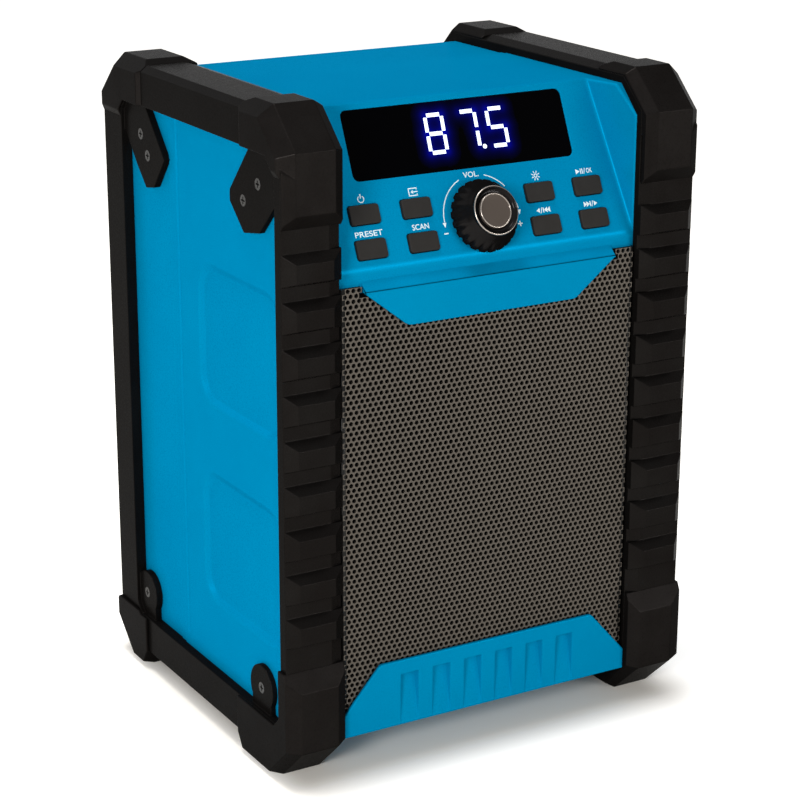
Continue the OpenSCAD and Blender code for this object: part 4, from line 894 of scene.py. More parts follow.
# ------------------------------------------------------------------ grille and speaker
@dataclass
class SpeakerFront:
    """The perforated grille, the cloth behind it and the speaker.

    Attributes:
        pitch: Distance between holes in a row.
        hole: Radius of a hole.
        sheet: Thickness of the sheet.
        front_y: Front plane of the sheet.
        flat: Half width of the flat part.
        edge_x: Half width over the turned-back sides.
        turn_depth: How far the sides turn back.
        low_z: Height of the lowest row.
        notch_z: Top of the sheet behind the apron.
        top_z: Top of the sheet beside the apron.
        notch_x: Half width of the notch.
        gasket: Width of the foam behind the sheet's edges.
        gasket_y: Middle plane of that foam.
    """

    pitch: float = 2.7
    hole: float = 1.05
    sheet: float = 1.0
    front_y: float = -86.8
    flat: float = 75.6
    edge_x: float = 76.9
    turn_depth: float = 2.8
    low_z: float = 23.9
    notch_z: float = 222.3
    top_z: float = 225.7
    notch_x: float = 65.3
    gasket: float = 10.4
    gasket_y: float = -84.27

    def allowed(self, x: float, z: float, half_x: float, half_z: float) -> bool:
        """Tells whether a cell lies on the sheet.

        Args:
            x: Middle of the cell along the width.
            z: Middle of the cell along the height.
            half_x: Half of the cell's width.
            half_z: Half of the cell's height.

        Returns:
            True if the whole cell is on the sheet.
        """
        if abs(x) + half_x > self.flat + 0.01 or z + half_z > self.top_z:
            return False
        if abs(x) - half_x < self.notch_x and z + half_z > self.notch_z:
            return False
        slope = 45.9 - max(0.0, abs(x) + half_x - 56.1) * (45.9 - self.low_z) / (self.edge_x - 56.1)
        return z - half_z > slope

    def cell(self, half_x: float, half_z: float) -> bmesh.types.BMesh:
        """Makes one rectangle of sheet with a hole and the hole's wall."""
        mesh = bmesh.new()
        rim = bmesh.ops.create_circle(mesh, cap_ends=False, segments=8, radius=self.hole)["verts"]
        outer = bmesh.ops.create_circle(mesh, cap_ends=False, segments=8, radius=1.0)["verts"]
        upright = Matrix.Rotation(math.radians(90), 3, "X")
        bmesh.ops.rotate(mesh, verts=mesh.verts, cent=(0, 0, 0), matrix=upright)
        for vert in outer:
            x, z = vert.co.x, vert.co.z
            vert.co.x = 0.0 if abs(x) < 0.1 else math.copysign(half_x, x)
            vert.co.z = 0.0 if abs(z) < 0.1 else math.copysign(half_z, z)
        bmesh.ops.bridge_loops(mesh, edges=mesh.edges)
        rim_edges = [e for e in mesh.edges if all(v in rim for v in e.verts)]
        walls = bmesh.ops.extrude_edge_only(mesh, edges=rim_edges)
        bmesh.ops.translate(mesh, verts=made_verts(walls), vec=(0, self.sheet, 0))
        return mesh

    def build_sheet(self) -> None:
        """Builds the perforated sheet."""
        columns = math.floor(2 * self.flat / self.pitch)
        pitch = 2 * self.flat / columns
        row = pitch * math.sqrt(3) / 2
        rows = round((self.top_z - self.low_z) / row)
        row = (self.top_z - self.low_z) / rows
        cell = self.cell(pitch / 2, row / 2)
        pattern = bpy.data.meshes.new("hole cell")
        cell.to_mesh(pattern)
        cell.free()
        line = bpy.data.meshes.new("row of holes")
        mesh = bmesh.new()
        at = Vector((0.0, 0.0, 0.0))
        for j in range(rows):
            holes = bmesh.new()
            z = self.low_z + (j + 0.5) * row
            for i in range(columns + 1):
                spot = Vector((-self.flat + (i + 0.5 * (j % 2)) * pitch, self.front_y, z))
                if self.allowed(spot.x, spot.z, pitch / 2, row / 2):
                    pattern.transform(Matrix.Translation(spot - at))
                    holes.from_mesh(pattern)
                    at = spot
            holes.to_mesh(line)
            holes.free()
            mesh.from_mesh(line)
        bpy.data.meshes.remove(pattern)
        bpy.data.meshes.remove(line)
        bmesh.ops.remove_doubles(mesh, verts=mesh.verts, dist=0.01)
        bmesh.ops.recalc_face_normals(mesh, faces=mesh.faces)
        mesh.transform(METRES)
        place("perforated_sheet", mesh, GRILLE_COAT, "chassis", "grille_metal", ("grille",), sharp=60)

    def build_sides(self) -> None:
        """Builds the plain strips that close the sheet and curve back at its sides, in the dark
        black-oxide finish, which is painted shade on the coated sheet's turned-back edges.
        """
        steps = 6
        for side in Side:
            mesh = bmesh.new()
            curve_x, y = self.flat - 0.6, self.front_y + 0.02
            points = [mesh.verts.new((self.flat - self.pitch / 2, y, self.low_z))]
            for i in range(steps + 1):
                turn = math.radians(90 * i / steps)
                x = curve_x + (self.edge_x - self.flat + 0.6) * math.sin(turn)
                back = y + self.turn_depth * (1 - math.cos(turn))
                points.append(mesh.verts.new((x, back, self.low_z)))
            edges = [mesh.edges.new(pair) for pair in zip(points, points[1:])]
            wall = bmesh.ops.extrude_edge_only(mesh, edges=edges)
            bmesh.ops.translate(mesh, verts=made_verts(wall), vec=(0, 0, self.top_z - self.low_z))
            if side is Side.LEFT:
                bmesh.ops.scale(mesh, verts=mesh.verts, vec=(-1, 1, 1))
            bmesh.ops.recalc_face_normals(mesh, faces=mesh.faces)
            front = next(f for f in mesh.faces if abs(f.normal.y) > 0.9)
            if front.normal.y > 0:
                bmesh.ops.reverse_faces(mesh, faces=mesh.faces)
            mesh.transform(METRES)
            # The turned-back edges are the coated sheet itself; their black-oxide finish is painted
            # shade.
            strip = place(
                f"sheet_edge_{side.name.lower()}", mesh, OXIDE_STEEL, "chassis", "grille_metal",
                sharp=80
            )
            thick = strip.modifiers.new("sheet thickness", "SOLIDIFY")
            thick.thickness = 0.8 * MM
            thick.offset = -1.0

    def build_gasket(self) -> None:
        """Builds the strips of black foam that the sheet's edges press on."""
        mesh = bmesh.new()
        tall = self.top_z - self.low_z - 0.4
        for side in Side:
            strip = bmesh.ops.create_cube(mesh, size=1.0)["verts"]
            bmesh.ops.scale(mesh, verts=strip, vec=(self.gasket, 0.5, tall))
            x = side.value * (self.flat - self.gasket / 2 + 0.4)
            bmesh.ops.translate(mesh, verts=strip, vec=(x, self.gasket_y, self.low_z + tall / 2))
        mesh.transform(METRES)
        place("foam_gasket", mesh, ACOUSTIC_CLOTH, "chassis", "cloth")

    def build(self) -> None:
        """Builds the grille and dresses the speaker behind it."""
        self.build_sheet()
        self.build_sides()
        self.build_gasket()
        dress(("dust_cloth",), ACOUSTIC_CLOTH)
        dress(("woofer_basket",), OXIDE_STEEL)
        dress(("woofer_magnet",), FERRITE)
        dress(("woofer_cone", "dust_cap"), PAPER_PULP)
        dress(("woofer_surround",), KEY_SILICONE)
        dress(("woofer_screws",), ZINC_STEEL)


# ------------------------------------------------------------------ side cages
@dataclass
class SideCages:
    """The two black cages with their ribs, their eight bumpers and the tab screws.

    Attributes:
        edge: Setback of the cage's edges.
        rib_edge: Setback of the ribs' front edges.
        bumper_edge: Setback of the bumpers' edges.
    """

    edge: float = 0.3
    rib_edge: float = 0.3
    bumper_edge: float = 0.4

    def cage_setback(self, at: Vector, along: Vector, angle: float) -> float:
        """Gives the setback of a cage's edge."""
        if abs(at.x) > 104.2 and abs(at.y) < 70 and angle < 50:
            return 0.5
        return self.rib_edge if abs(at.y) > 89 else self.edge

    def build(self) -> None:
        """Builds both cages and their bumpers."""
        for side in Side:
            soften(f"cage_{side.name.lower()}", SPARKED_PP, "black_plastic", self.cage_setback, 0.8)
            for level in ("top", "low"):
                for end in ("front", "back"):
                    soften(
                        f"bumper_{level}_{end}_{side.name.lower()}", BUMPER_TPR, "bumper_rubber",
                        even(self.bumper_edge), self.bumper_edge,
                    )
        dress(("tab_screws",), OXIDE_STEEL)


# ------------------------------------------------------------------ control panel
class Lit(Enum):
    """Which of the seven segments each digit lights, from the top clockwise with the middle last."""

    EIGHT = "abcdefg"
    SEVEN = "abc"
    FIVE = "acdfg"


@dataclass
class Display:
    """The smoked window and its lit digits.

    Attributes:
        centre: Middle of the window on the panel.
        size: Width and height of the window.
        sink: How far the window lies behind the panel.
        digits: Each digit with the left end of its foot and its width.
        low_t: Foot of the digits up the slope.
        tall: Height of the digits.
        stroke: Width of a segment.
        slant: How far the digits lean for each millimetre of height.
        point_x: Place of the decimal point.
    """

    centre: tuple[float, float] = (-2.4, 53.4)
    size: tuple[float, float] = (113.6, 31.5)
    sink: float = 0.6
    digits: tuple[tuple[Lit, float, float], ...] = (
        (Lit.EIGHT, -18.3, 8.4), (Lit.SEVEN, -1.1, 8.2), (Lit.FIVE, 13.5, 8.4),
    )
    low_t: float = 46.4
    tall: float = 16.8
    stroke: float = 1.75
    slant: float = 0.035
    point_x: float = 9.5

    def strokes(self) -> list[tuple[Vector, Vector]]:
        """Lists the ends of every lit segment on the panel."""
        lit: list[tuple[Vector, Vector]] = []
        gap = self.stroke * 0.12
        for digit, left, wide in self.digits:
            low, mid, top = self.low_t, self.low_t + self.tall / 2, self.low_t + self.tall
            right = left + wide
            ends = {
                "a": ((left + gap, top), (right - gap, top)),
                "b": ((right, top - gap), (right, mid + gap)),
                "c": ((right, mid - gap), (right, low + gap)),
                "d": ((left + gap, low), (right - gap, low)),
                "e": ((left, mid - gap), (left, low + gap)),
                "f": ((left, top - gap), (left, mid + gap)),
                "g": ((left + gap, mid), (right - gap, mid)),
            }
            for key in digit.value:
                lit.append(tuple(Vector((x + (t - low) * self.slant, t)) for x, t in ends[key]))
        return lit

    def segment(self, mesh: bmesh.types.BMesh, start: Vector, end: Vector, height: float) -> None:
        """Adds one lit segment with pointed ends."""
        half = self.stroke / 2
        bar = bmesh.ops.create_circle(mesh, cap_ends=True, segments=6, radius=half)["verts"]
        length = (end - start).length
        for vert in bar:
            if abs(vert.co.x) > 0.95 * half:
                vert.co.x = math.copysign(length / 2, vert.co.x)
            else:
                vert.co.x = math.copysign(length / 2 - half * 0.8, vert.co.x)
                vert.co.y = math.copysign(half, vert.co.y)
        turn = Matrix.Rotation(math.atan2(end.y - start.y, end.x - start.x), 4, "Z")
        centre = (start + end) / 2
        spot = Matrix.Translation((centre.x, centre.y, height))
        bmesh.ops.transform(mesh, verts=bar, matrix=spot @ turn)

    def build_window(self) -> None:
        """Builds the window with the light that spreads from the digits."""
        mesh = bmesh.new()
        wide, tall = self.size
        bmesh.ops.create_grid(mesh, x_segments=228, y_segments=64, size=0.5)
        bmesh.ops.scale(mesh, verts=mesh.verts, vec=(wide, tall, 1))
        bmesh.ops.translate(mesh, verts=mesh.verts, vec=(*self.centre, -self.sink))
        layer = mesh.verts.layers.float.new(SMOKED_ACRYLIC.field_name)
        lit = self.strokes()
        for vert in mesh.verts:
            at = vert.co.xy
            total = 0.0
            for start, end in lit:
                along = end - start
                share = max(0.0, min(1.0, (at - start).dot(along) / along.length_squared))
                away = (at - start - along * share).length
                total += 0.08 * math.exp(-((away / 1.9) ** 2)) + 0.04 * math.exp(-((away / 4.0) ** 2))
            vert[layer] = min(total, 0.5) if total > 0.004 else 0.0
        rim = bmesh.ops.extrude_edge_only(mesh, edges=[e for e in mesh.edges if e.is_boundary])
        bmesh.ops.translate(mesh, verts=made_verts(rim), vec=(0, 0, -2.4))
        foot = [g for g in rim["geom"] if isinstance(g, bmesh.types.BMEdge) and g.is_boundary]
        bmesh.ops.contextual_create(mesh, geom=foot)
        bmesh.ops.recalc_face_normals(mesh, faces=mesh.faces)
        mesh.transform(PANEL)
        place(
            "smoked_window", mesh, SMOKED_ACRYLIC, "chassis", "gloss_black", ("display_window",),
            sharp=50,
        )

    def build_digits(self) -> None:
        """Builds the lit segments and the decimal point."""
        mesh = bmesh.new()
        height = 0.03 - self.sink
        for start, end in self.strokes():
            self.segment(mesh, start, end, height)
        point = bmesh.ops.create_circle(mesh, cap_ends=True, segments=12, radius=1.05)["verts"]
        bmesh.ops.translate(mesh, verts=point, vec=(self.point_x, self.low_t + 0.3, height))
        mesh.transform(PANEL)
        place("lit_segments", mesh, SEGMENT_LIGHT, "chassis", "gloss_black")

    def build(self) -> None:
        """Builds the window and its digits."""
        self.build_window()
        self.build_digits()
        dress(("display_module",), GREEN_BOARD)


@dataclass
class VolumeKnob:
    """The fluted volume knob and its inlaid cap.

    Attributes:
        centre_t: Place of the knob up the slope.
        skirt: Radius of the fluted skirt.
        flutes: Number of flutes.
        flute_depth: Depth of a flute.
        flute_top: How far the flutes reach up the skirt.
        crown: Radius of the raised ring.
        top: Height of the raised ring.
        disc: Radius of the cap.
        gap: Gap under the skirt.
    """

    centre_t: float = 15.65
    skirt: float = 16.4
    flutes: int = 22
    flute_depth: float = 0.85
    flute_top: float = 6.6
    crown: float = 11.1
    top: float = 12.8
    disc: float = 7.9
    gap: float = 0.5

    def seat(self) -> Matrix:
        """Gives the placement of the knob's axis on the panel."""
        return PANEL @ Matrix.Translation((0, self.centre_t, 0))

    def outline(self) -> list[tuple[float, float]]:
        """Gives the radius and height of the knob's outline, from its foot to the cap's seat."""
        s, c, t, g = self.skirt, self.crown, self.top, self.gap
        return [
            (5.2, g + 1.2), (s - 2.0, g + 1.2), (s - 0.9, g), (s - 0.25, g + 0.15), (s, g + 0.6),
            (s, g + 1.4),
            (s - 0.1, g + 2.2), (s - 0.4, g + 3.1), (s - 0.9, g + 4.1), (s - 1.6, g + 5.2),
            (s - 2.35, g + 6.3),
            (s - 3.1, g + 7.4), (s - 3.75, g + 8.5), (s - 4.3, g + 9.6), (c + 0.5, t - 1.9),
            (c + 0.2, t - 1.3),
            (c, t - 0.7), (c - 0.15, t - 0.25), (c - 0.45, t), (c - 0.75, t - 0.05),
            (c - 1.0, t - 0.35),
            (c - 1.3, t - 0.9), (c - 1.8, t - 1.35), (c - 2.3, t - 1.55),
            (self.disc + 0.25, t - 1.6),
            (self.disc + 0.05, t - 1.8), (self.disc, t - 3.1),
        ]

    def build_body(self) -> None:
        """Builds the knob's body and presses the flutes into its skirt."""
        per_flute = 8
        mesh = lathe(self.outline(), self.flutes * per_flute, Matrix.Identity(4))
        for vert in mesh.verts:
            radius = math.hypot(vert.co.x, vert.co.y)
            if radius < 10.5 or not self.gap - 0.1 <= vert.co.z <= self.gap + self.flute_top:
                continue
            turn = math.atan2(vert.co.y, vert.co.x) * self.flutes / math.tau
            valley = max(0.0, math.cos(math.tau * turn)) ** 0.6
            fade = min(1.0, max(0.0, (self.gap + self.flute_top - vert.co.z) / 3.5))
            factor = 1 - self.flute_depth * valley * fade / radius
            vert.co.x *= factor
            vert.co.y *= factor
        mesh.transform(self.seat())
        place("fluted_knob", mesh, KNOB_ABS, "knob", "black_plastic", ("volume_knob",), sharp=50)

    def build_rims(self) -> None:
        """Builds the thin bright rims: a pale metal film along the black crown's crest, which is a
        painted highlight, and one round the cap.
        """
        c, d, t = self.crown, self.disc, self.top
        # The crown's film is a painted highlight on the black crown's crest.
        crown = [(c + 0.06, t - 0.75), (c - 0.09, t - 0.2), (c - 0.4, t - 0.005), (c - 0.72, t - 0.05)]
        cap = [(d - 0.02, t - 0.8), (d - 0.15, t - 0.52), (d - 0.45, t - 0.4), (d - 0.75, t - 0.52)]
        for name, edge in (("crown_rim", crown), ("cap_rim", cap)):
            mesh = lathe(edge, 96, self.seat())
            rim = place(name, mesh, TURNED_RIM_AND_CROWN_HIGHLIGHT, "knob", "cap_plastic", sharp=60)
            thick = rim.modifiers.new("rim thickness", "SOLIDIFY")
            thick.thickness = 0.2 * MM
            thick.offset = -1.0

    def build_cap(self) -> None:
        """Builds the cap with its turned rim and a faint dish."""
        t, d = self.top, self.disc
        outline = [
            (d - 0.05, t - 3.1), (d - 0.05, t - 0.95), (d - 0.2, t - 0.62), (d - 0.5, t - 0.5),
            (d - 0.8, t - 0.55),
            (d - 1.0, t - 0.75), (d - 1.25, t - 0.82), (d * 0.5, t - 0.95), (0.0, t - 1.0),
        ]
        mesh = lathe(outline, 96, self.seat())
        place("knob_cap", mesh, CAP_LACQUER, "knob", "cap_plastic", ("knob_disc",), sharp=60)

    def build(self) -> None:
        """Builds the knob and dresses the shaft under it."""
        self.build_body()
        self.build_rims()
        self.build_cap()
        dress(("encoder_shaft", "encoder_body"), ZINC_STEEL)


@dataclass
class PanelPrint:
    """The white marks printed on the sloped panel.

    Attributes:
        lift: Thickness of the ink.
        line: Width of the fine lines.
        icon_t: Middle of the icons over the upper buttons.
        label_t: Middle of the marks over the lower buttons.
        columns: Places of the four button columns.
    """

    lift: float = 0.03
    line: float = 0.42
    icon_t: float = 30.4
    label_t: float = 14.9
    columns: tuple[float, float, float, float] = (-57.8, -31.9, 31.9, 57.8)
    mesh: bmesh.types.BMesh = field(default_factory=bmesh.new)

    def stroke(
        self, start: tuple[float, float], end: tuple[float, float], width: float | None = None
    ) -> None:
        """Adds a straight line with square ends.

        Args:
            start: Panel place of one end.
            end: Panel place of the other end.
            width: Width of the line, or the fine width where none is given.
        """
        width = width or self.line
        run = Vector(end) - Vector(start)
        bar = bmesh.ops.create_grid(self.mesh, x_segments=1, y_segments=1, size=0.5)["verts"]
        bmesh.ops.scale(self.mesh, verts=bar, vec=(run.length, width, 1))
        centre = (Vector(start) + Vector(end)) / 2
        bmesh.ops.transform(
            self.mesh, verts=bar,
            matrix=Matrix.Translation((centre.x, centre.y, self.lift))
            @ Matrix.Rotation(math.atan2(run.y, run.x), 4, "Z"),
        )

    def arc(
        self, centre: tuple[float, float], radius: float, start: float, end: float,
        width: float | None = None,
    ) -> None:
        """Adds an arc, spun from a short line across it.

        Args:
            centre: Panel place of its centre.
            radius: Radius of its middle line.
            start: First angle in degrees.
            end: Last angle in degrees.
            width: Width of the line, or the fine width where none is given.
        """
        width = width or self.line
        turn = math.radians(start)
        x, t = centre
        ends = [
            self.mesh.verts.new((x + r * math.cos(turn), t + r * math.sin(turn), self.lift))
            for r in (radius - width / 2, radius + width / 2)
        ]
        across = self.mesh.edges.new(ends)
        bmesh.ops.spin(
            self.mesh, geom=[*ends, across], cent=(x, t, self.lift), axis=(0, 0, 1),
            angle=math.radians(end - start), steps=max(6, int(abs(end - start) / 7)),
            use_duplicate=False,
        )

    def arrow(self, tip: tuple[float, float], long: float, tall: float, heading: float) -> None:
        """Adds a solid triangle.

        Args:
            tip: Panel place of its tip.
            long: Length from tip to foot.
            tall: Width of the foot.
            heading: Direction in which it points, in degrees.
        """
        head = bmesh.ops.create_circle(self.mesh, cap_ends=True, segments=3, radius=1.0)["verts"]
        for vert, (x, y) in zip(head, ((0.0, 0.0), (-long, tall / 2), (-long, -tall / 2))):
            vert.co = (x, y, 0)
        bmesh.ops.transform(
            self.mesh, verts=head,
            matrix=Matrix.Translation((*tip, self.lift))
            @ Matrix.Rotation(math.radians(heading), 4, "Z"),
        )

    def words(self, text: str, centre: tuple[float, float], tall: float, wide: float) -> None:
        """Adds a word, made a flat mesh and fitted to a width.

        Args:
            text: The word.
            centre: Panel place of its middle.
            tall: Height of its capitals.
            wide: Width of the whole word.
        """
        curve = bpy.data.curves.new(f"word {text}", "FONT")
        curve.body = text
        curve.offset = 0.012
        holder = bpy.data.objects.new(f"word {text}", curve)
        bpy.context.scene.collection.objects.link(holder)
        bpy.context.view_layer.update()
        flat = bpy.data.meshes.new_from_object(holder)
        letters = bmesh.new()
        letters.from_mesh(flat)
        xs = [v.co.x for v in letters.verts]
        ys = [v.co.y for v in letters.verts]
        bmesh.ops.translate(
            letters, verts=letters.verts,
            vec=(-(min(xs) + max(xs)) / 2, -(min(ys) + max(ys)) / 2, 0)
        )
        bmesh.ops.scale(
            letters, verts=letters.verts,
            vec=(wide / (max(xs) - min(xs)), tall / (max(ys) - min(ys)), 1)
        )
        bmesh.ops.translate(letters, verts=letters.verts, vec=(*centre, self.lift))
        letters.to_mesh(flat)
        letters.free()
        self.mesh.from_mesh(flat)
        bpy.data.objects.remove(holder)
        bpy.data.curves.remove(curve)
        bpy.data.meshes.remove(flat)

    def power_mark(self, x: float, t: float) -> None:
        """Adds the power mark."""
        self.arc((x, t - 0.3), 1.45, 122, 418)
        self.stroke((x, t), (x, t + 2.0), 0.5)

    def source_mark(self, x: float, t: float) -> None:
        """Adds the source mark: a box with an arrow into its side."""
        for start, end in (
            ((x + 2.0, t + 0.9), (x + 2.0, t + 1.6)), ((x + 2.2, t + 1.6), (x - 2.2, t + 1.6)),
            ((x - 2.0, t + 1.6), (x - 2.0, t - 1.6)), ((x - 2.2, t - 1.6), (x + 2.2, t - 1.6)),
            ((x + 2.0, t - 1.6), (x + 2.0, t - 0.9)), ((x + 2.4, t), (x - 0.2, t)),
        ):
            self.stroke(start, end, 0.45)
        self.arrow((x - 1.1, t), 1.2, 1.7, 180)

    def light_mark(self, x: float, t: float) -> None:
        """Adds the light mark: a ring with eight rays."""
        self.arc((x, t), 0.75, 0, 360, 0.4)
        for i in range(8):
            turn = math.radians(45 * i + 22.5)
            self.stroke(
                (x + 1.25 * math.cos(turn), t + 1.25 * math.sin(turn)),
                (x + 2.25 * math.cos(turn), t + 2.25 * math.sin(turn)), 0.42,
            )

    def play_mark(self, x: float, t: float) -> None:
        """Adds the play, pause and confirm mark."""
        self.arrow((x - 2.3, t), 2.1, 2.5, 0)
        for offset in (-1.75, -0.85):
            self.stroke((x + offset, t - 1.2), (x + offset, t + 1.2), 0.45)
        self.stroke((x - 0.15, t - 1.3), (x + 0.65, t + 1.3), 0.34)
        self.words("OK", (x + 2.9, t), 2.2, 3.2)

    def skip_mark(self, x: float, t: float, way: int) -> None:
        """Adds the skip marks.

        Args:
            x: Place along the width.
            t: Place up the slope.
            way: 1 for forwards and -1 for backwards.
        """
        heading = 0 if way > 0 else 180
        for offset in (-2.0, -0.5):
            self.arrow((x + way * offset, t), 1.8, 2.5, heading)
        self.stroke((x - way * 0.25, t - 1.2), (x - way * 0.25, t + 1.2), 0.5)
        self.stroke((x + way * 0.8 - 0.4, t - 1.3), (x + way * 0.8 + 0.4, t + 1.3), 0.34)
        self.arrow((x + way * 3.5, t), 1.8, 2.3, heading)

    def volume_marks(self) -> None:
        """Adds the word, the two arcs with their arrows and the minus and plus beside the knob."""
        centre = (0.0, 15.3)
        self.words("VOL.", (-1.2, 34.9), 2.5, 8.0)
        self.arc(centre, 19.4, 114, 180, 0.45)
        self.arrow((-19.5, 12.9), 2.2, 1.9, -88)
        self.arc(centre, 19.4, 74, 40, 0.45)
        self.arc(centre, 19.4, 14, 6, 0.45)
        self.arrow((19.4, 14.4), 2.2, 1.9, -92)
        self.stroke((-20.8, 10.3), (-18.6, 10.3), 0.55)
        self.stroke((17.5, 10.3), (19.9, 10.3), 0.55)
        self.stroke((18.7, 9.1), (18.7, 11.5), 0.55)

    def build(self) -> None:
        """Builds every mark as one thin print."""
        first, second, third, fourth = self.columns
        self.power_mark(first, self.icon_t)
        self.source_mark(second, self.icon_t)
        self.light_mark(third, self.icon_t + 0.3)
        self.play_mark(fourth, self.icon_t - 0.3)
        self.words("PRESET", (first + 0.4, self.label_t), 2.5, 13.6)
        self.words("SCAN", (second + 0.2, self.label_t), 2.5, 8.4)
        self.skip_mark(third, self.label_t, -1)
        self.skip_mark(fourth, self.label_t, 1)
        self.volume_marks()
        bmesh.ops.recalc_face_normals(self.mesh, faces=self.mesh.faces)
        for face in self.mesh.faces:
            if face.normal.z < 0:
                face.normal_flip()
        self.mesh.transform(PANEL)
        place("panel_print", self.mesh, PRINT_INK, "chassis", "cap_plastic")


@dataclass
class ControlPanel:
    """The keys of the sloped panel, its display, print and knob.

    Attributes:
        keys: Names of the eight keys.
        key_edge: Setback of a key's edges.
    """

    keys: tuple[str, ...] = ("power", "source", "preset", "scan", "light", "play", "back", "next")
    key_edge: float = 0.45

    def build(self) -> None:
        """Builds the panel's pieces."""
        for key in self.keys:
            soften(
                f"button_{key}", KEY_SILICONE, "button_rubber", even(self.key_edge), self.key_edge,
                f"{key}_button",
            )
        Display().build()
        VolumeKnob().build()
        PanelPrint().build()
        dress(("keypad_mat",), MAT_SILICONE)
        dress(("control_board",), GREEN_BOARD)
        dress(("tact_switches",), ZINC_STEEL)


# ------------------------------------------------------------------ back and inside
@dataclass
class RearFittings:
    """The battery bay, the sockets under their flap, the aerial and what lies inside.

    Attributes:
        door_edge: Setback of the door's edges.
        flap_edge: Setback of the rubber flap's edges.
        lock_edge: Setback of the lock's edges.
        mount_edge: Setback of the edges of the aerial's base, clip and knuckle.
    """

    door_edge: float = 0.6
    flap_edge: float = 0.5
    lock_edge: float = 0.3
    mount_edge: float = 0.35

    def build(self) -> None:
        """Builds the fittings of the back and dresses what lies inside."""
        for node, finish, slot, setback, body in (
            ("battery_door", SPARKED_PP, "black_plastic", self.door_edge, "door"),
            ("door_lock", SPARKED_PP, "black_plastic", self.lock_edge, "lock"),
            ("socket_flap", KEY_SILICONE, "button_rubber", self.flap_edge, "flap"),
            ("aerial_base", SPARKED_PP, "black_plastic", self.mount_edge, "chassis"),
            ("aerial_clip", SPARKED_PP, "black_plastic", self.mount_edge, "chassis"),
            ("aerial_knuckle", SPARKED_PP, "black_plastic", self.mount_edge, "aerial_swivel"),
        ):
            soften(node, finish, slot, even(setback), setback, body)
        dress(("aerial_tube", "aerial_second", "aerial_third", "aerial_tip"), CHROME_TUBE)
        dress(("shell_screws", "battery_contacts", "usb_socket"), ZINC_STEEL)
        dress(("dc_inlet", "audio_socket", "battery_box"), SOCKET_ABS)
        dress(("main_board",), GREEN_BOARD)
        dress(("heat_sink", "capacitors"), EXTRUDED_ALUMINIUM)
        dress(("battery_cells",), CELL_SLEEVE)


# ------------------------------------------------------------------ studio
@dataclass(frozen=True)
class Softbox:
    """A soft lamp.

    Attributes:
        name: What the lamp is called.
        at: Place in millimetres.
        towards: Place it points at, in millimetres.
        size: Width and height in millimetres.
        watts: Power of the lamp.
    """

    name: str
    at: tuple[float, float, float]
    towards: tuple[float, float, float]
    size: tuple[float, float]
    watts: float


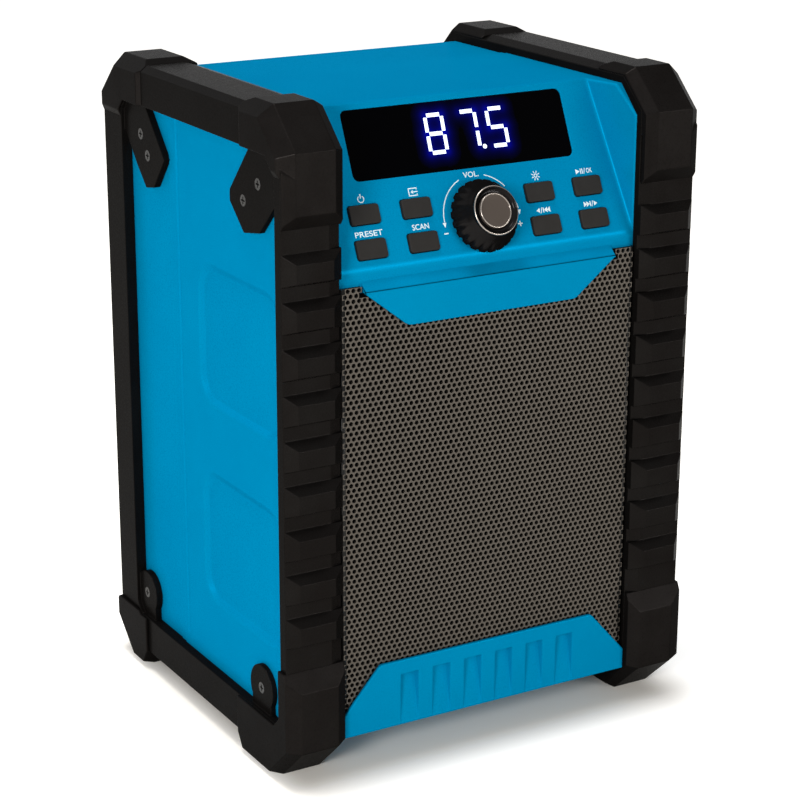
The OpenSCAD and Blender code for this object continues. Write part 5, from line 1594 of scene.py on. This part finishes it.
@dataclass
class Studio:
    """White floor, white surroundings, softboxes and the camera.

    Attributes:
        lens: Focal length in millimetres for a 36 mm frame.
        eye: Place of the camera in millimetres.
        right: Direction of the picture's right.
        down: Direction of the picture's bottom.
        ahead: Direction of view.
        ambient: Strength of the surroundings on matt surfaces.
        boxes: The softboxes.
        footprint: Half sizes of the radio's footprint.
        floor_glow_reach: Distances from the footprint between which a painted glow lifts the floor to
            white, so that the floor shows its own shading and the radio's shadow only near the
            footprint.
    """

    lens: float = 102.17
    eye: tuple[float, float, float] = (-524.2634, -897.6357, 477.5058)
    right: tuple[float, float, float] = (0.8623, -0.5064, 0.0030)
    down: tuple[float, float, float] = (-0.1538, -0.2676, -0.9512)
    ahead: tuple[float, float, float] = (0.4825, 0.8197, -0.3086)
    ambient: float = 0.25
    boxes: tuple[Softbox, ...] = (
        Softbox("overhead key", (-200, 160, 1550), (0, 0, 150), (500, 500), 12.0),
        Softbox("front left", (-1060, -880, 560), (0, 0, 150), (360, 360), 12.0),
        Softbox("left strip", (-1250, 420, 90), (0, 0, 200), (120, 600), 2.0),
        Softbox("front strip", (750, -1350, 335), (0, 0, 235), (700, 50), 5.5),
        Softbox("back fill", (-700, 1450, 900), (0, 0, 150), (900, 900), 6.0),
    )
    footprint: tuple[float, float, float] = (92.0, 84.0, 0.0)
    floor_glow_reach: tuple[float, float] = (0.0, 34.0)

    def build_camera(self) -> None:
        """Sets up the camera."""
        data = bpy.data.cameras.new("camera")
        data.lens = self.lens
        data.sensor_width = 36.0
        data.clip_start = 0.05
        camera = bpy.data.objects.new("camera", data)
        right, down, ahead = (Vector(v).normalized() for v in (self.right, self.down, self.ahead))
        turn = Matrix((right, -down, -ahead)).transposed().to_4x4()
        camera.matrix_world = Matrix.Translation(Vector(self.eye) * MM) @ turn
        bpy.context.scene.collection.objects.link(camera)
        bpy.context.scene.camera = camera

    def build_lamps(self) -> None:
        """Sets up the softboxes."""
        for box in self.boxes:
            data = bpy.data.lights.new(box.name, "AREA")
            data.shape = "RECTANGLE"
            data.size, data.size_y = (s * MM for s in box.size)
            data.energy = box.watts
            lamp = bpy.data.objects.new(box.name, data)
            aim = Vector(box.towards) - Vector(box.at)
            turn = aim.to_track_quat("-Z", "Y").to_matrix().to_4x4()
            lamp.matrix_world = Matrix.Translation(Vector(box.at) * MM) @ turn
            bpy.context.scene.collection.objects.link(lamp)

    def seen_directly(self, tree: bpy.types.NodeTree) -> bpy.types.NodeSocket:
        """Adds the nodes that give 1 for a camera, glossy or transmission ray and 0 for any other.

        Args:
            tree: The tree that takes them.

        Returns:
            The socket with the result.
        """
        path = add_node(tree, "ShaderNodeLightPath")
        seen = add_node(
            tree, "ShaderNodeMath", operation="MAXIMUM",
            inputs={0: path.outputs["Is Camera Ray"], 1: path.outputs["Is Glossy Ray"]},
        )
        clear = add_node(
            tree, "ShaderNodeMath", operation="MAXIMUM",
            inputs={0: seen.outputs["Value"], 1: path.outputs["Is Transmission Ray"]},
        )
        return clear.outputs["Value"]

    def build_world(self) -> None:
        """Sets up plain white surroundings, dimmer for what they light than for what sees them."""
        world = bpy.data.worlds.new("white surroundings")
        bpy.context.scene.world = world
        world.use_nodes = True
        tree = world.node_tree
        tree.nodes.clear()
        strength = add_node(
            tree, "ShaderNodeMapRange",
            {"Value": self.seen_directly(tree), "To Min": self.ambient, "To Max": 1.0},
        )
        sky = add_node(
            tree, "ShaderNodeBackground",
            {"Color": (1.0, 1.0, 1.0, 1.0), "Strength": strength.outputs["Result"]},
        )
        add_node(tree, "ShaderNodeOutputWorld", {"Surface": sky.outputs["Background"]})

    def build_floor(self) -> None:
        """Lays the white floor, with a painted white glow that grows away from the radio's footprint and
        hides the floor's own shading and the radio's shadow further out.
        """
        mesh = bmesh.new()
        bmesh.ops.create_grid(mesh, x_segments=8, y_segments=8, size=6.0)
        data = bpy.data.meshes.new("studio floor")
        mesh.to_mesh(data)
        mesh.free()
        material, tree, shader, spot = empty_tree("white paper floor")
        fibres = add_node(
            tree, "ShaderNodeTexNoise", {"Vector": spot, "Scale": per_metre(6.0), "Detail": 3.0}
        )
        tone = add_node(
            tree, "ShaderNodeMapRange",
            {"Value": fibres.outputs["Fac"], "To Min": 0.6, "To Max": 0.65}
        )
        half = tuple(size * MM for size in self.footprint)
        away = add_node(tree, "ShaderNodeVectorMath", {0: spot}, operation="ABSOLUTE")
        steps = (("SUBTRACT", {1: half}), ("MAXIMUM", {1: (0.0, 0.0, 0.0)}), ("LENGTH", {}))
        for step, other in steps:
            inputs = {0: away.outputs["Vector"], **other}
            away = add_node(tree, "ShaderNodeVectorMath", inputs, operation=step)
        near, far = (distance * MM for distance in self.floor_glow_reach)
        # Painted light: a white glow on the floor that grows with the distance from the footprint.
        lift = add_node(
            tree, "ShaderNodeMapRange", interpolation_type="SMOOTHSTEP",
            inputs={"Value": away.outputs["Value"], "From Min": near, "From Max": far, "To Max": 0.7},
        )
        glow = add_node(
            tree, "ShaderNodeMath", {0: lift.outputs["Result"], 1: self.seen_directly(tree)},
            operation="MULTIPLY",
        )
        feed(tree, shader, {
            "Base Color": linear("FAF5EC"), "Roughness": tone.outputs["Result"],
            "Specular IOR Level": 0.1, "Emission Color": linear("FFFFFF"),
            "Emission Strength": glow.outputs["Value"],
        })
        data.materials.append(material)
        floor = bpy.data.objects.new("studio floor", data)
        bpy.context.scene.collection.objects.link(floor)

    def build(self) -> None:
        """Sets up the studio."""
        self.build_camera()
        self.build_lamps()
        self.build_world()
        self.build_floor()
        bpy.context.scene.view_settings.view_transform = "Standard"


def main() -> None:
    """Builds the radio's pieces and the studio."""
    logging.basicConfig(level=logging.INFO, format="%(name)s: %(message)s")
    Housing().build()
    SpeakerFront().build()
    SideCages().build()
    ControlPanel().build()
    RearFittings().build()
    Studio().build()
    bpy.context.view_layer.update()


if __name__ == "__main__":
    main()
